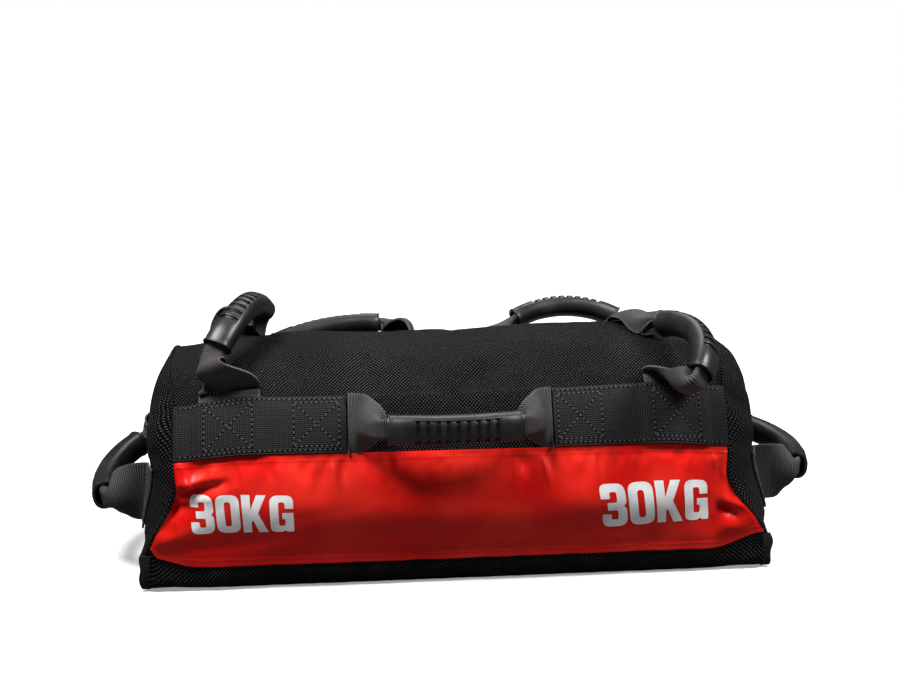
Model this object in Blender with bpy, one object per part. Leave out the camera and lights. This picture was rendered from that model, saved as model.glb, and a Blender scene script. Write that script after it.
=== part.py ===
# Sandbag trainer: a woven bag with a coated front panel, three sand fillers inside,
# webbing bands front and rear, and seven webbing handles with rubber grips.
# Metres, +Z up, +X along the bag, the front faces -Y, the origin lies under the middle of the bag.

import bisect
import math

import bmesh
import bpy
from mathutils import Matrix, Vector

# Gaps and cloth thicknesses
GAP = 0.0003
CANVAS_THICKNESS = 0.0016
PANEL_THICKNESS = 0.0014
WEB_WIDTH = 0.057
WEB_THICKNESS = 0.0020
NORMAL_STEP = 0.003

# The filled bag
HALF_DEPTH = 0.140
BAG_HEIGHT = 0.2225
BAND_HALF_LENGTH = 0.262
BASE_SPREAD = 0.035
CREST_SPREAD = 0.009
BASE_SHIFT = 0.007
FLARE_LOW_HEIGHT = 0.026
FLARE_HIGH_HEIGHT = 0.108
CREST_START_HEIGHT = 0.178
CROWN_START_HEIGHT = 0.115
CREST_RISE = 0.006
CREST_SAG = 0.005
END_LEFT_BULGE = 0.019
END_RIGHT_BULGE = 0.038
END_CENTRE_HEIGHT = 0.105
END_TAPER_START_SHARE = 0.74
END_DROP_SHARE = 0.045
END_DRAW_SHARE = 0.05
END_REACH_SHARES = (1.0, 0.93, 0.80, 0.55, 0.25)
LOWER_HALF_LENGTH = BAND_HALF_LENGTH + BASE_SPREAD
CREST_HALF_LENGTH = BAND_HALF_LENGTH + CREST_SPREAD

# The cross-section, from the middle of the base forward, up the front, over the crest and
# down the rear. Each pair is a share of the half depth and a share of the height.
SECTION_SHARES = (
    (0.0, 0.0), (-0.42, 0.0), (-0.82, 0.0), (-0.930, 0.020), (-0.968, 0.110),
    (-0.985, 0.240), (-1.0, 0.400), (-0.975, 0.575), (-0.845, 0.795), (-0.600, 0.925),
    (-0.280, 0.985), (0.07, 1.0), (0.39, 0.968), (0.68, 0.865), (0.865, 0.690),
    (0.945, 0.500), (0.950, 0.290), (0.890, 0.100), (0.80, 0.016), (0.66, 0.0), (0.34, 0.0),
)
SECTION_STEPS = 12

# Panel widths, measured along the cloth from the middle of the base
FRONT_BASE_WIDTH = 0.153
FRONT_PANEL_WIDTH = 0.106
REAR_BASE_WIDTH = 0.150
REAR_PANEL_WIDTH = 0.112
BASE_ROW_SHARES = (0.45, 0.68, 0.80, 0.90, 1.0)

# Zip in the rear panel
ZIP_HALF_LENGTH = 0.190
ZIP_SLOT_WIDTH = 0.026
ZIP_RISE = 0.060
ZIP_CHAIN_WIDTH = 0.0058
ZIP_CHAIN_THICKNESS = 0.0022
ZIP_TAPE_THICKNESS = 0.0008
ZIP_STOP_LENGTH = 0.004
SLIDER_LENGTH = 0.0125
SLIDER_WALL = 0.0012
SLIDER_HALF_WIDTH = 0.0048
BAIL_TUNNEL_HEIGHT = 0.0026
BAIL_LENGTH = 0.0078
BAIL_WALL = 0.0010
BAIL_WIDTH = 0.0018
PULL_BAR = 0.0014
PULL_ARM = 0.0055
PULL_LENGTH = 0.026
PULL_WIDTH = 0.0084
PULL_ARM_WIDTH = 0.0018

# Grips, and the webbing loops that run through them
GRIP_LENGTH = 0.122
GRIP_HALF_WIDTH = 0.0136
GRIP_HALF_HEIGHT = 0.0112
GRIP_RIM = 0.0006
GRIP_RIB_DEPTH = 0.0024
GRIP_RIB_COUNT = 9
GRIP_RIB_START_SHARE = -0.62
GRIP_RIB_END_SHARE = 0.66
GRIP_RIM_START_SHARE = 0.95
RIB_EDGE_SHARES = (-0.3, 0.6)
OVAL_POWER_SHARE = 0.8
GRIP_BORE_CLEARANCE = 0.0008
FOLD_HALF_WIDTH = 0.0102
FOLD_HALF_THICKNESS = 0.0042
FOLD_LEG_SHARES = (0.15, 0.95)
THICKEN_LEG_SHARES = (0.4, 1.0)
ROUND_SIDES = 10
LEG_RINGS = 8
BORE_RINGS = 7
LOOP_STANDOFF = 0.0018
LOOP_SEAT = 0.0006
ROOT_GAP = 0.0014
REAR_TAB_GAP = 0.0028
TAB_GAP = 0.0009
ROOT_PULL = 0.020
CORE_REACH_SHARE = 1.05
MOUTH_PULL = 0.026
BAND_RAMP = 0.007

# Front and rear handles: the middle of each loop as a share of the bands' half length, its
# half width, then how its grip lies: its reach from the cloth, how much lower its left end is,
# its shift along the loop, its tilt
FRONT_X_SHARE = -0.023
FRONT_X = FRONT_X_SHARE * BAND_HALF_LENGTH
FRONT_HALF_CHORD = 0.096
FRONT_SPAN = 0.1212
FRONT_REACH = 0.031
FRONT_DIP = -0.004
REAR_HALF_CHORD = 0.085
REAR_SPAN = 0.1165
REAR_LEFT_X_SHARE = -0.401
REAR_LEFT_X = REAR_LEFT_X_SHARE * BAND_HALF_LENGTH
REAR_LEFT_REACH = 0.043
REAR_LEFT_DIP = 0.028
REAR_LEFT_SHIFT = -0.010
REAR_LEFT_TILT = math.radians(38)
REAR_RIGHT_X_SHARE = 0.565
REAR_RIGHT_X = REAR_RIGHT_X_SHARE * BAND_HALF_LENGTH
REAR_RIGHT_REACH = 0.047
REAR_RIGHT_SHIFT = 0.008
REAR_RIGHT_TILT = math.radians(62)

# Top handles: where the two mouths of each grip lie, front and rear, as shares of the grip's
# length from the middle of the hinge line, and the direction that the grip bows in
TOP_HANDLE_X_SHARE = 0.805
TOP_HANDLE_X = TOP_HANDLE_X_SHARE * BAND_HALF_LENGTH
TAB_RISE = 0.010
TOP_CHORD_ARC = 0.156
TOP_LEFT_MOUTH_SHARES = ((-0.088, -0.53, 0.20), (0.22, 0.31, 0.37))
TOP_LEFT_BOW_SHARES = (0.30, -0.20, 1.0)
TOP_RIGHT_MOUTH_SHARES = ((0.05, -1.19, -0.035), (0.0, -0.31, 0.217))
TOP_RIGHT_BOW_SHARES = (0.75, -0.10, 0.60)
TOP_RIGHT_FRONT_PULL = 0.032

# Side handles: roots on the end panels, then how each grip's front and rear mouths lie: how far
# out from the hinge line, and how far below the level
SIDE_ROOT_DEPTH = 0.068
SIDE_FRONT_HEIGHT = 0.080
SIDE_REAR_HEIGHT = 0.102
SIDE_SPAN = 0.1165
SIDE_LEFT_FRONT_REACH = 0.041
SIDE_LEFT_FRONT_DROOP = math.radians(10)
SIDE_LEFT_REAR_REACH = 0.025
SIDE_LEFT_REAR_DROOP = math.radians(8)
SIDE_RIGHT_FRONT_REACH = 0.046
SIDE_RIGHT_FRONT_DROOP = math.radians(-2)
SIDE_RIGHT_REAR_REACH = 0.038
SIDE_RIGHT_REAR_DROOP = math.radians(4)
SIDE_TAB_LENGTH = 0.026
SIDE_STANDOFF = 0.0027

# Corner bindings
BINDING_THICKNESS = 0.0026
BINDING_LAP = 0.010
BINDING_FIN = 0.008
BINDING_RISE = 0.0135

# Sand fillers
FILLER_COUNT = 3
FILLER_END_ROOM = 0.0235
FILLER_HALF_LENGTH = (BAND_HALF_LENGTH - FILLER_END_ROOM) / FILLER_COUNT
FILLER_SLACK = 0.0085
FILLER_TOP_CLEARANCE = 0.012
LINER_THICKNESS = 0.0009
LINER_NECK_RISE = 0.006
NECK_HALF_LENGTH = 0.055
NECK_HALF_WIDTH = 0.0042
CLOSURE_OVERRUN = 0.001
CLOSURE_DEPTH = 0.008
FILLER_SIDES = 18
FILLER_POWER_SHARE = 0.6
SAND_HEIGHT_SHARES = (0.0, 0.05, 0.18, 0.38, 0.60, 0.78, 0.90)
SAND_SPREAD_SHARES = (0.88, 0.955, 1.0, 1.0, 0.99, 0.93, 0.66)

BLACK_CLOTH = (0.012, 0.012, 0.013)
WEBBING_GREY = (0.030, 0.028, 0.028)


def smooth(low, high, value):
    """Go smoothly from 0 at low to 1 at high."""
    share = min(1.0, max(0.0, (value - low) / (high - low)))
    return share * share * (3.0 - 2.0 * share)


def spread(low, high, count):
    """Evenly spaced values from low to high."""
    return [low + (high - low) * index / (count - 1) for index in range(count)]


def make_material(name, colour, roughness, metallic=0.0):
    """Make one plain Principled material."""
    finish = bpy.data.materials.new(name)
    finish.use_nodes = True
    shader = finish.node_tree.nodes["Principled BSDF"]
    shader.inputs["Base Color"].default_value = (*colour, 1.0)
    shader.inputs["Roughness"].default_value = roughness
    shader.inputs["Metallic"].default_value = metallic
    finish.diffuse_color = (*colour, 1.0)
    return finish


# Cross-section

def section_outline():
    """Round the section's points into one closed run of short steps."""
    corners = [Vector((depth * HALF_DEPTH, height * BAG_HEIGHT)) for depth, height in SECTION_SHARES]
    outline = []
    count = len(corners)
    for index in range(count):
        before, start, stop, after = (corners[(index + step) % count] for step in (-1, 0, 1, 2))
        for step in range(SECTION_STEPS):
            share = step / SECTION_STEPS
            point = 0.5 * (2.0 * start + (stop - before) * share
                           + (2.0 * before - 5.0 * start + 4.0 * stop - after) * share ** 2
                           + (3.0 * start - before - 3.0 * stop + after) * share ** 3)
            point.y = max(0.0, point.y)
            outline.append(point)
    outline.append(outline[0].copy())
    return outline


OUTLINE = section_outline()
ARCS = [0.0]
for first, second in zip(OUTLINE, OUTLINE[1:]):
    ARCS.append(ARCS[-1] + (second - first).length)
PERIMETER = ARCS[-1]

FRONT_SEAM = FRONT_BASE_WIDTH
BAND_LOW = FRONT_SEAM + FRONT_PANEL_WIDTH
BAND_MIDDLE = BAND_LOW + WEB_WIDTH / 2
BAND_HIGH = BAND_LOW + WEB_WIDTH
REAR_SEAM = PERIMETER - REAR_BASE_WIDTH
REAR_BAND_LOW = REAR_SEAM - REAR_PANEL_WIDTH
REAR_BAND_MIDDLE = REAR_BAND_LOW - WEB_WIDTH / 2
REAR_BAND_HIGH = REAR_BAND_LOW - WEB_WIDTH
ZIP_ARC = REAR_SEAM - ZIP_RISE


def section_point(arc):
    """The depth and height of the section at a distance along the cloth."""
    arc = arc % PERIMETER
    index = min(len(ARCS) - 2, bisect.bisect_right(ARCS, arc) - 1)
    share = (arc - ARCS[index]) / (ARCS[index + 1] - ARCS[index])
    return OUTLINE[index].lerp(OUTLINE[index + 1], share)


def flare_share(height):
    """How much of the base's flare is left at a height: 1 at the base, 0 at the bands."""
    return smooth(FLARE_HIGH_HEIGHT, FLARE_LOW_HEIGHT, height)


def half_length(height):
    """Half the bag's length at a height: wide at the base, narrow at the bands."""
    flare = flare_share(height)
    crest = smooth(CREST_START_HEIGHT, BAG_HEIGHT, height)
    return (BAND_HALF_LENGTH + flare * (LOWER_HALF_LENGTH - BAND_HALF_LENGTH)
            + crest * (CREST_HALF_LENGTH - BAND_HALF_LENGTH))


def skin_point(x_share, arc):
    """A point of the bag's outer face; x_share runs from -1 at the left end to 1 at the right."""
    depth, height = section_point(arc)
    end = smooth(END_TAPER_START_SHARE, 1.0, abs(x_share))
    crown = smooth(CROWN_START_HEIGHT, BAG_HEIGHT, height)
    middle = (1.0 - min(1.0, x_share * x_share)) ** 2
    lift = crown * (CREST_RISE * x_share - CREST_SAG * middle)
    return Vector((x_share * half_length(height) + BASE_SHIFT * flare_share(height),
                   depth * (1.0 - END_DRAW_SHARE * end),
                   height * (1.0 - END_DROP_SHARE * end) + lift))


def skin_normal(x_share, arc):
    """The outward direction of the bag's face, square to the bag's length."""
    around = skin_point(x_share, arc + NORMAL_STEP) - skin_point(x_share, arc - NORMAL_STEP)
    return Vector((0.0, -around.z, around.y)).normalized()


def skin_tangent(x_share, arc):
    """The direction round the bag, from the front over the crest to the rear."""
    around = skin_point(x_share, arc + NORMAL_STEP) - skin_point(x_share, arc - NORMAL_STEP)
    return around.normalized()


def share_at(x, arc):
    """The x share of a place x along the bag."""
    height = section_point(arc)[1]
    return (x - BASE_SHIFT * flare_share(height)) / half_length(height)


def skin_at(x, arc, offset=0.0):
    """A point that stands off the bag's face by an offset."""
    x_share = share_at(x, arc)
    return skin_point(x_share, arc) + skin_normal(x_share, arc) * offset


# Shared rows round the bag and columns along it, so that layers lie parallel

def tidy_rows(values):
    """Sorted places with repeats dropped."""
    rows = []
    for value in sorted(values):
        if not rows or value - rows[-1] > GAP:
            rows.append(value)
    return rows


TAB_HIGH = BAND_HIGH + TAB_RISE
REAR_ROOT = TAB_HIGH + TOP_CHORD_ARC
BAND_ROWS = spread(BAND_LOW, BAND_HIGH, 5)
REAR_BAND_ROWS = spread(REAR_BAND_HIGH, REAR_BAND_LOW, 5)
TOP_ROWS = (BAND_ROWS + spread(TAB_HIGH, REAR_ROOT, 8)
            + spread(REAR_ROOT, REAR_BAND_HIGH, 3)[1:] + REAR_BAND_ROWS[1:])
FRONT_ROWS = [FRONT_SEAM] + spread(FRONT_SEAM + BINDING_RISE, BAND_LOW, 6)
BASE_ROWS = ([-REAR_BASE_WIDTH * share for share in reversed(BASE_ROW_SHARES)] + [0.0]
             + [FRONT_BASE_WIDTH * share for share in BASE_ROW_SHARES])
SLOT_HIGH = ZIP_ARC - ZIP_SLOT_WIDTH / 2
SLOT_LOW = ZIP_ARC + ZIP_SLOT_WIDTH / 2
REAR_ROWS = (spread(REAR_BAND_LOW, SLOT_HIGH, 4) + spread(SLOT_LOW, REAR_SEAM, 4)[:-1]
             + [REAR_SEAM - BINDING_RISE, REAR_SEAM])
LAP_SHARE = 1.0 - BINDING_LAP / LOWER_HALF_LENGTH
TAB_EDGE = WEB_WIDTH / 2 + GAP


def long_columns():
    """The x shares that every panel and band uses."""
    places = [0.0]
    for side in (-1.0, 1.0):
        places += [FRONT_X + side * (FRONT_HALF_CHORD + ROOT_GAP), side * FRONT_HALF_CHORD / 2]
        for across in (-TAB_EDGE - BAND_RAMP, -TAB_EDGE, 0.0, TAB_EDGE, TAB_EDGE + BAND_RAMP):
            places.append(side * TOP_HANDLE_X + across)
        for middle in (REAR_LEFT_X, REAR_RIGHT_X):
            places.append(middle + side * (REAR_HALF_CHORD + ROOT_GAP))
    shares = [place / BAND_HALF_LENGTH for place in places]
    return tidy_rows(shares + [-1.0, -LAP_SHARE, LAP_SHARE, 1.0])


COLUMNS = long_columns()


def trimmed(rows, gap=GAP / 2):
    """The rows with their two ends drawn in by a gap."""
    return [rows[0] + gap] + list(rows[1:-1]) + [rows[-1] - gap]


def columns_between(x_low, x_high):
    """The shared columns from one place along a band to another."""
    low = x_low / BAND_HALF_LENGTH
    high = x_high / BAND_HALF_LENGTH
    step = GAP / BAND_HALF_LENGTH
    return [low] + [share for share in COLUMNS if low + step < share < high - step] + [high]


# Solids

def finish_object(name, mesh_data, material, parent=None):
    """Turn a bmesh into a named object whose faces point out."""
    bmesh.ops.recalc_face_normals(mesh_data, faces=mesh_data.faces[:])
    if mesh_data.calc_volume(signed=True) < 0.0:
        bmesh.ops.reverse_faces(mesh_data, faces=mesh_data.faces[:])
    mesh = bpy.data.meshes.new(name)
    mesh_data.to_mesh(mesh)
    mesh_data.free()
    mesh.materials.append(material)
    mesh.shade_smooth()
    mesh.set_sharp_from_angle(angle=math.radians(35))
    node = bpy.data.objects.new(name, mesh)
    bpy.context.scene.collection.objects.link(node)
    node.parent = parent
    return node


def sheet_solid(name, outer, inner, material, parent=None, is_open=None):
    """Close two matching grids of points into a sheet, leaving out the cells that is_open names."""
    sheet = bmesh.new()
    top = [[sheet.verts.new(point) for point in row] for row in outer]
    base = [[sheet.verts.new(point) for point in row] for row in inner]
    partner = {}
    for top_row, base_row in zip(top, base):
        partner.update(zip(top_row, base_row))
    for row in range(len(outer) - 1):
        for column in range(len(outer[0]) - 1):
            if is_open and is_open(row, column):
                continue
            for grid in (top, base):
                sheet.faces.new((grid[row][column], grid[row][column + 1],
                                 grid[row + 1][column + 1], grid[row + 1][column]))
    rims = [edge for edge in sheet.edges if edge.is_boundary and edge.verts[0] in partner]
    for rim in rims:
        start, stop = rim.verts
        sheet.faces.new((start, stop, partner[stop], partner[start]))
    return finish_object(name, sheet, material, parent)


def wall(name, x_shares, arcs, thickness, material, offsets=None, is_open=None):
    """A cloth panel that follows the bag's face, its inner side as far out as its offsets say."""
    offsets = offsets or [-thickness] * len(x_shares)
    outer = [[skin_point(x_share, arc) + skin_normal(x_share, arc) * (offset + thickness)
              for arc in arcs] for x_share, offset in zip(x_shares, offsets)]
    inner = [[skin_point(x_share, arc) + skin_normal(x_share, arc) * offset
              for arc in arcs] for x_share, offset in zip(x_shares, offsets)]
    return sheet_solid(name, outer, inner, material, is_open=is_open)


def ring_faces(mesh_data, rings):
    """Join rings of equal counts with quads."""
    for lower, upper in zip(rings, rings[1:]):
        count = len(lower)
        for index in range(count):
            after = (index + 1) % count
            mesh_data.faces.new((lower[index], lower[after], upper[after], upper[index]))


def loft_solid(name, rings, material, parent=None):
    """Skin a run of rings and close its two ends."""
    loft = bmesh.new()
    verts = [[loft.verts.new(point) for point in ring] for ring in rings]
    ring_faces(loft, verts)
    loft.faces.new(verts[0])
    loft.faces.new(verts[-1])
    return finish_object(name, loft, material, parent)


def sleeve_solid(name, outer_rings, inner_rings, material, parent=None):
    """Skin a tube with a bore right through it."""
    sleeve = bmesh.new()
    outer = [[sleeve.verts.new(point) for point in ring] for ring in outer_rings]
    inner = [[sleeve.verts.new(point) for point in ring] for ring in inner_rings]
    ring_faces(sleeve, outer)
    ring_faces(sleeve, inner)
    ring_faces(sleeve, [outer[0], inner[0]])
    ring_faces(sleeve, [outer[-1], inner[-1]])
    return finish_object(name, sleeve, material, parent)


def cup_solid(name, outer_rings, inner_rings, material):
    """Skin a sack: closed at its first rings, open at its last."""
    cup = bmesh.new()
    outer = [[cup.verts.new(point) for point in ring] for ring in outer_rings]
    inner = [[cup.verts.new(point) for point in ring] for ring in inner_rings]
    ring_faces(cup, outer)
    ring_faces(cup, inner)
    ring_faces(cup, [outer[-1], inner[-1]])
    cup.faces.new(outer[0])
    cup.faces.new(inner[0])
    return finish_object(name, cup, material)


# Bag panels

def make_panels(canvas, coated):
    """The sewn skins round the bag, all but its rear and its ends."""
    wall("top_panel", COLUMNS, trimmed(TOP_ROWS), CANVAS_THICKNESS, canvas)
    wall("front_panel", COLUMNS, trimmed(FRONT_ROWS), PANEL_THICKNESS, coated)
    wall("bottom_panel", COLUMNS, trimmed(BASE_ROWS), CANVAS_THICKNESS, canvas)


def make_rear_panel(canvas):
    """The rear panel, with the slot that the zip closes."""
    slot_left = share_at(-ZIP_HALF_LENGTH, ZIP_ARC)
    slot_right = share_at(ZIP_HALF_LENGTH, ZIP_ARC)
    columns = ([-1.0, -LAP_SHARE, (slot_left - LAP_SHARE) / 2]
               + spread(slot_left, slot_right, 9)
               + [(slot_right + LAP_SHARE) / 2, LAP_SHARE, 1.0])
    slot_row = REAR_ROWS.index(SLOT_HIGH)

    def is_slot(column, row):
        """The cells that lie in the slot."""
        return row == slot_row and slot_left <= columns[column] < slot_right

    wall("rear_panel", columns, trimmed(REAR_ROWS, GAP), CANVAS_THICKNESS, canvas, is_open=is_slot)


def end_point(side, arc, reach, out):
    """A point of an end panel; reach runs from 0 at its middle to 1 at its seam."""
    rim = skin_point(side, arc)
    flat_x = CREST_HALF_LENGTH + CANVAS_THICKNESS
    bulge = END_RIGHT_BULGE if side > 0.0 else END_LEFT_BULGE
    x = (flat_x + (abs(rim.x) - flat_x) * reach ** 3 + bulge * (1.0 - reach ** 4)
         + GAP + out)
    return Vector((side * x, rim.y * reach,
                   END_CENTRE_HEIGHT + (rim.z - END_CENTRE_HEIGHT) * reach))


def make_end_panel(name, side, canvas):
    """A domed end panel, built as rings that shrink to a small middle face."""
    arcs = (BASE_ROWS[:-1] + FRONT_ROWS[:-1] + TOP_ROWS[:-1] + REAR_ROWS[:-1])
    outer = [[end_point(side, arc, reach, CANVAS_THICKNESS) for arc in arcs]
             for reach in END_REACH_SHARES]
    inner = [[end_point(side, arc, reach, 0.0) for arc in arcs] for reach in END_REACH_SHARES]
    dome = bmesh.new()
    outer_verts = [[dome.verts.new(point) for point in ring] for ring in outer]
    inner_verts = [[dome.verts.new(point) for point in ring] for ring in inner]
    ring_faces(dome, outer_verts)
    ring_faces(dome, inner_verts)
    ring_faces(dome, [outer_verts[0], inner_verts[0]])
    for ring in (outer_verts[-1], inner_verts[-1]):
        middle = dome.verts.new(sum((vert.co for vert in ring), Vector()) / len(ring))
        for index, vert in enumerate(ring):
            dome.faces.new((vert, ring[(index + 1) % len(ring)], middle))
    finish_object(name, dome, canvas)


def end_surface(side, depth, height, out=0.0):
    """The point of an end panel at a depth and height, standing off it sideways."""
    best = None
    for arc in spread(0.0, PERIMETER, 241)[:-1]:
        rim = skin_point(side, arc)
        rise = rim.z - END_CENTRE_HEIGHT
        cross = rim.y * (height - END_CENTRE_HEIGHT) - rise * depth
        if rim.y * depth + rise * (height - END_CENTRE_HEIGHT) >= 0.0:
            if best is None or abs(cross) < best[0]:
                best = (abs(cross), arc, math.hypot(rim.y, rise))
    reach = math.hypot(depth, height - END_CENTRE_HEIGHT) / best[2]
    x = end_point(side, best[1], reach, CANVAS_THICKNESS + out).x
    return Vector((x, depth, height))


# Bands and sewn tabs

def tab_lift(x):
    """How far the front band stands off the bag, higher over a top handle's sewn strap."""
    across = abs(abs(x) - TOP_HANDLE_X)
    return GAP + (WEB_THICKNESS + GAP) * smooth(TAB_EDGE + BAND_RAMP, TAB_EDGE, across)


def make_band(name, x_low, x_high, rows, lift, webbing):
    """A length of webbing sewn flat along the bag; lift gives its stand-off at a place x."""
    columns = columns_between(x_low, x_high)
    offsets = [lift(share * BAND_HALF_LENGTH) for share in columns]
    wall(name, columns, trimmed(rows, GAP), WEB_THICKNESS, webbing, offsets)


def make_bands(webbing):
    """The webbing bands, cut where their handle loops leave the bag."""
    end = BAND_HALF_LENGTH
    half = FRONT_HALF_CHORD + ROOT_GAP
    make_band("front_band_left", -end, FRONT_X - half, BAND_ROWS, tab_lift, webbing)
    make_band("front_band_right", FRONT_X + half, end, BAND_ROWS, tab_lift, webbing)
    half = REAR_HALF_CHORD + ROOT_GAP
    for name, x_low, x_high in (("left", -end, REAR_LEFT_X - half),
                                ("middle", REAR_LEFT_X + half, REAR_RIGHT_X - half),
                                ("right", REAR_RIGHT_X + half, end)):
        make_band("rear_band_" + name, x_low, x_high, REAR_BAND_ROWS, lambda x: GAP, webbing)


def make_top_tab(name, x, rows, webbing):
    """The sewn end of a top handle's strap."""
    columns = columns_between(x - WEB_WIDTH / 2, x + WEB_WIDTH / 2)
    wall(name, columns, rows, WEB_THICKNESS, webbing, [GAP] * len(columns))


def make_side_tab(name, side, depth_low, depth_high, height, webbing):
    """The sewn end of a side handle's strap, on the domed end panel."""
    heights = spread(height - WEB_WIDTH / 2, height + WEB_WIDTH / 2, 5)
    depths = spread(depth_low, depth_high, 4)
    inner = [[end_surface(side, depth, z, TAB_GAP) for z in heights]
             for depth in depths]
    outer = [[end_surface(side, depth, z, TAB_GAP + WEB_THICKNESS) for z in heights]
             for depth in depths]
    sheet_solid(name, outer, inner, webbing)


def make_tabs(webbing):
    """The sewn ends of the top and side handles' straps."""
    front_rows = BAND_ROWS[1:] + [TAB_HIGH - TAB_GAP]
    rear_rows = [REAR_ROOT + REAR_TAB_GAP, (REAR_ROOT + REAR_BAND_HIGH) / 2,
                 REAR_BAND_HIGH - GAP]
    for side_name, side in (("left", -1.0), ("right", 1.0)):
        x = side * TOP_HANDLE_X
        make_top_tab("top_" + side_name + "_tab_front", x, front_rows, webbing)
        make_top_tab("top_" + side_name + "_tab_rear", x, rear_rows, webbing)
        for face_name, way, height in (("front", -1.0, SIDE_FRONT_HEIGHT),
                                       ("rear", 1.0, SIDE_REAR_HEIGHT)):
            near = SIDE_ROOT_DEPTH + ROOT_GAP
            depths = sorted((way * near, way * (near + SIDE_TAB_LENGTH)))
            make_side_tab("side_" + side_name + "_tab_" + face_name, side, *depths, height,
                          webbing)


# Handles

def hinge_frame(name, start, stop, out):
    """An empty on a hinge line: its X along the line, its Z out from the bag."""
    x_axis = (stop - start).normalized()
    z_axis = (out - x_axis * out.dot(x_axis)).normalized()
    y_axis = z_axis.cross(x_axis)
    turn = Matrix((x_axis, y_axis, z_axis)).transposed().to_4x4()
    turn.translation = (start + stop) / 2
    pivot = bpy.data.objects.new(name + "_hinge", None)
    pivot.matrix_world = turn
    bpy.context.scene.collection.objects.link(pivot)
    return pivot


def arc_angle(span):
    """Half the angle of the arc that has the grip's length and a given straight span."""
    low = 0.001
    high = math.pi / 2
    for _ in range(40):
        angle = (low + high) / 2
        if math.sin(angle) / angle > span / GRIP_LENGTH:
            low = angle
        else:
            high = angle
    return angle


def grip_station(mouths, bow, share):
    """The place, run and outward direction at a share of the grip, from -1 to 1."""
    chord = mouths[1] - mouths[0]
    run = chord.normalized()
    out = (bow - run * bow.dot(run)).normalized()
    half_angle = arc_angle(chord.length)
    radius = GRIP_LENGTH / 2 / half_angle
    angle = share * half_angle
    place = ((mouths[0] + mouths[1]) / 2 + run * radius * math.sin(angle)
             + out * radius * (math.cos(angle) - math.cos(half_angle)))
    along = run * math.cos(angle) - out * math.sin(angle)
    away = out * math.cos(angle) + run * math.sin(angle)
    return place, along, away


def squared(value, power_share):
    """A cosine or sine pulled towards 1 or -1, which squares a round outline."""
    return math.copysign(abs(value) ** power_share, value)


def oval_ring(place, along, out, half_width, half_height, dent=0.0):
    """A rounded ring square to a run; dent sinks its outer side."""
    across = out.cross(along)
    ring = []
    for index in range(ROUND_SIDES):
        angle = math.tau * (index + 0.5) / ROUND_SIDES
        wide = squared(math.cos(angle), OVAL_POWER_SHARE)
        high = squared(math.sin(angle), OVAL_POWER_SHARE)
        sink = dent * smooth(*RIB_EDGE_SHARES, high)
        ring.append(place + across * wide * (half_width - sink)
                    + out * high * (half_height - sink))
    return ring


def make_grip(name, pivot, mouths, bow, rubber):
    """A moulded sleeve with a plain collar at each end and ribs between them."""
    stations = [(-1.0, 0.0, GRIP_RIM), (-GRIP_RIM_START_SHARE, 0.0, 0.0)]
    count = 2 * GRIP_RIB_COUNT + 1
    for index, share in enumerate(spread(GRIP_RIB_START_SHARE, GRIP_RIB_END_SHARE, count)):
        stations.append((share, GRIP_RIB_DEPTH * (index % 2), 0.0))
    stations += [(GRIP_RIM_START_SHARE, 0.0, 0.0), (1.0, 0.0, GRIP_RIM)]
    outer = [oval_ring(*grip_station(mouths, bow, share), GRIP_HALF_WIDTH + rim,
                       GRIP_HALF_HEIGHT + rim, dent) for share, dent, rim in stations]
    bore = [oval_ring(*grip_station(mouths, bow, share),
                      FOLD_HALF_WIDTH + GRIP_BORE_CLEARANCE,
                      FOLD_HALF_THICKNESS + GRIP_BORE_CLEARANCE)
            for share in spread(-1.0, 1.0, BORE_RINGS)]
    sleeve_solid(name, outer, bore, rubber, pivot)


def leg_stations(root, mouth, mouth_pull):
    """Places, runs and outward directions of a strap leg, from its root to the grip's mouth.

    root and mouth each hold a place, the direction that the leg leaves it in, and out.
    """
    bends = (root[0], root[0] + root[1] * ROOT_PULL, mouth[0] + mouth[1] * mouth_pull, mouth[0])
    places = []
    for share in spread(0.0, 1.0, LEG_RINGS):
        rest = 1.0 - share
        places.append(bends[0] * rest ** 3 + bends[1] * 3.0 * rest ** 2 * share
                      + bends[2] * 3.0 * rest * share ** 2 + bends[3] * share ** 3)
    runs = [root[1]]
    runs += [(after - before).normalized() for before, after in zip(places, places[2:])]
    runs.append(-mouth[1])
    outs = [root[2]]
    for before, after in zip(runs, runs[1:]):
        outs.append(before.rotation_difference(after) @ outs[-1])
    gap_angle = math.atan2(runs[-1].dot(outs[-1].cross(mouth[2])), outs[-1].dot(mouth[2]))
    stations = []
    for share, place, run, out in zip(spread(0.0, 1.0, LEG_RINGS), places, runs, outs):
        turn = Matrix.Rotation(gap_angle * smooth(0.0, 1.0, share), 3, run)
        stations.append((place, run, turn @ out))
    return stations


def leg_rings(stations):
    """The rings of a strap leg: flat at the root, folded at the mouth."""
    rings = []
    for share, station in zip(spread(0.0, 1.0, LEG_RINGS), stations):
        fold = smooth(*FOLD_LEG_SHARES, share)
        swell = smooth(*THICKEN_LEG_SHARES, share)
        half_width = WEB_WIDTH / 2 + (FOLD_HALF_WIDTH - WEB_WIDTH / 2) * fold
        half_height = WEB_THICKNESS / 2 + (FOLD_HALF_THICKNESS - WEB_THICKNESS / 2) * swell
        rings.append(oval_ring(*station, half_width, half_height))
    return rings


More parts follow.
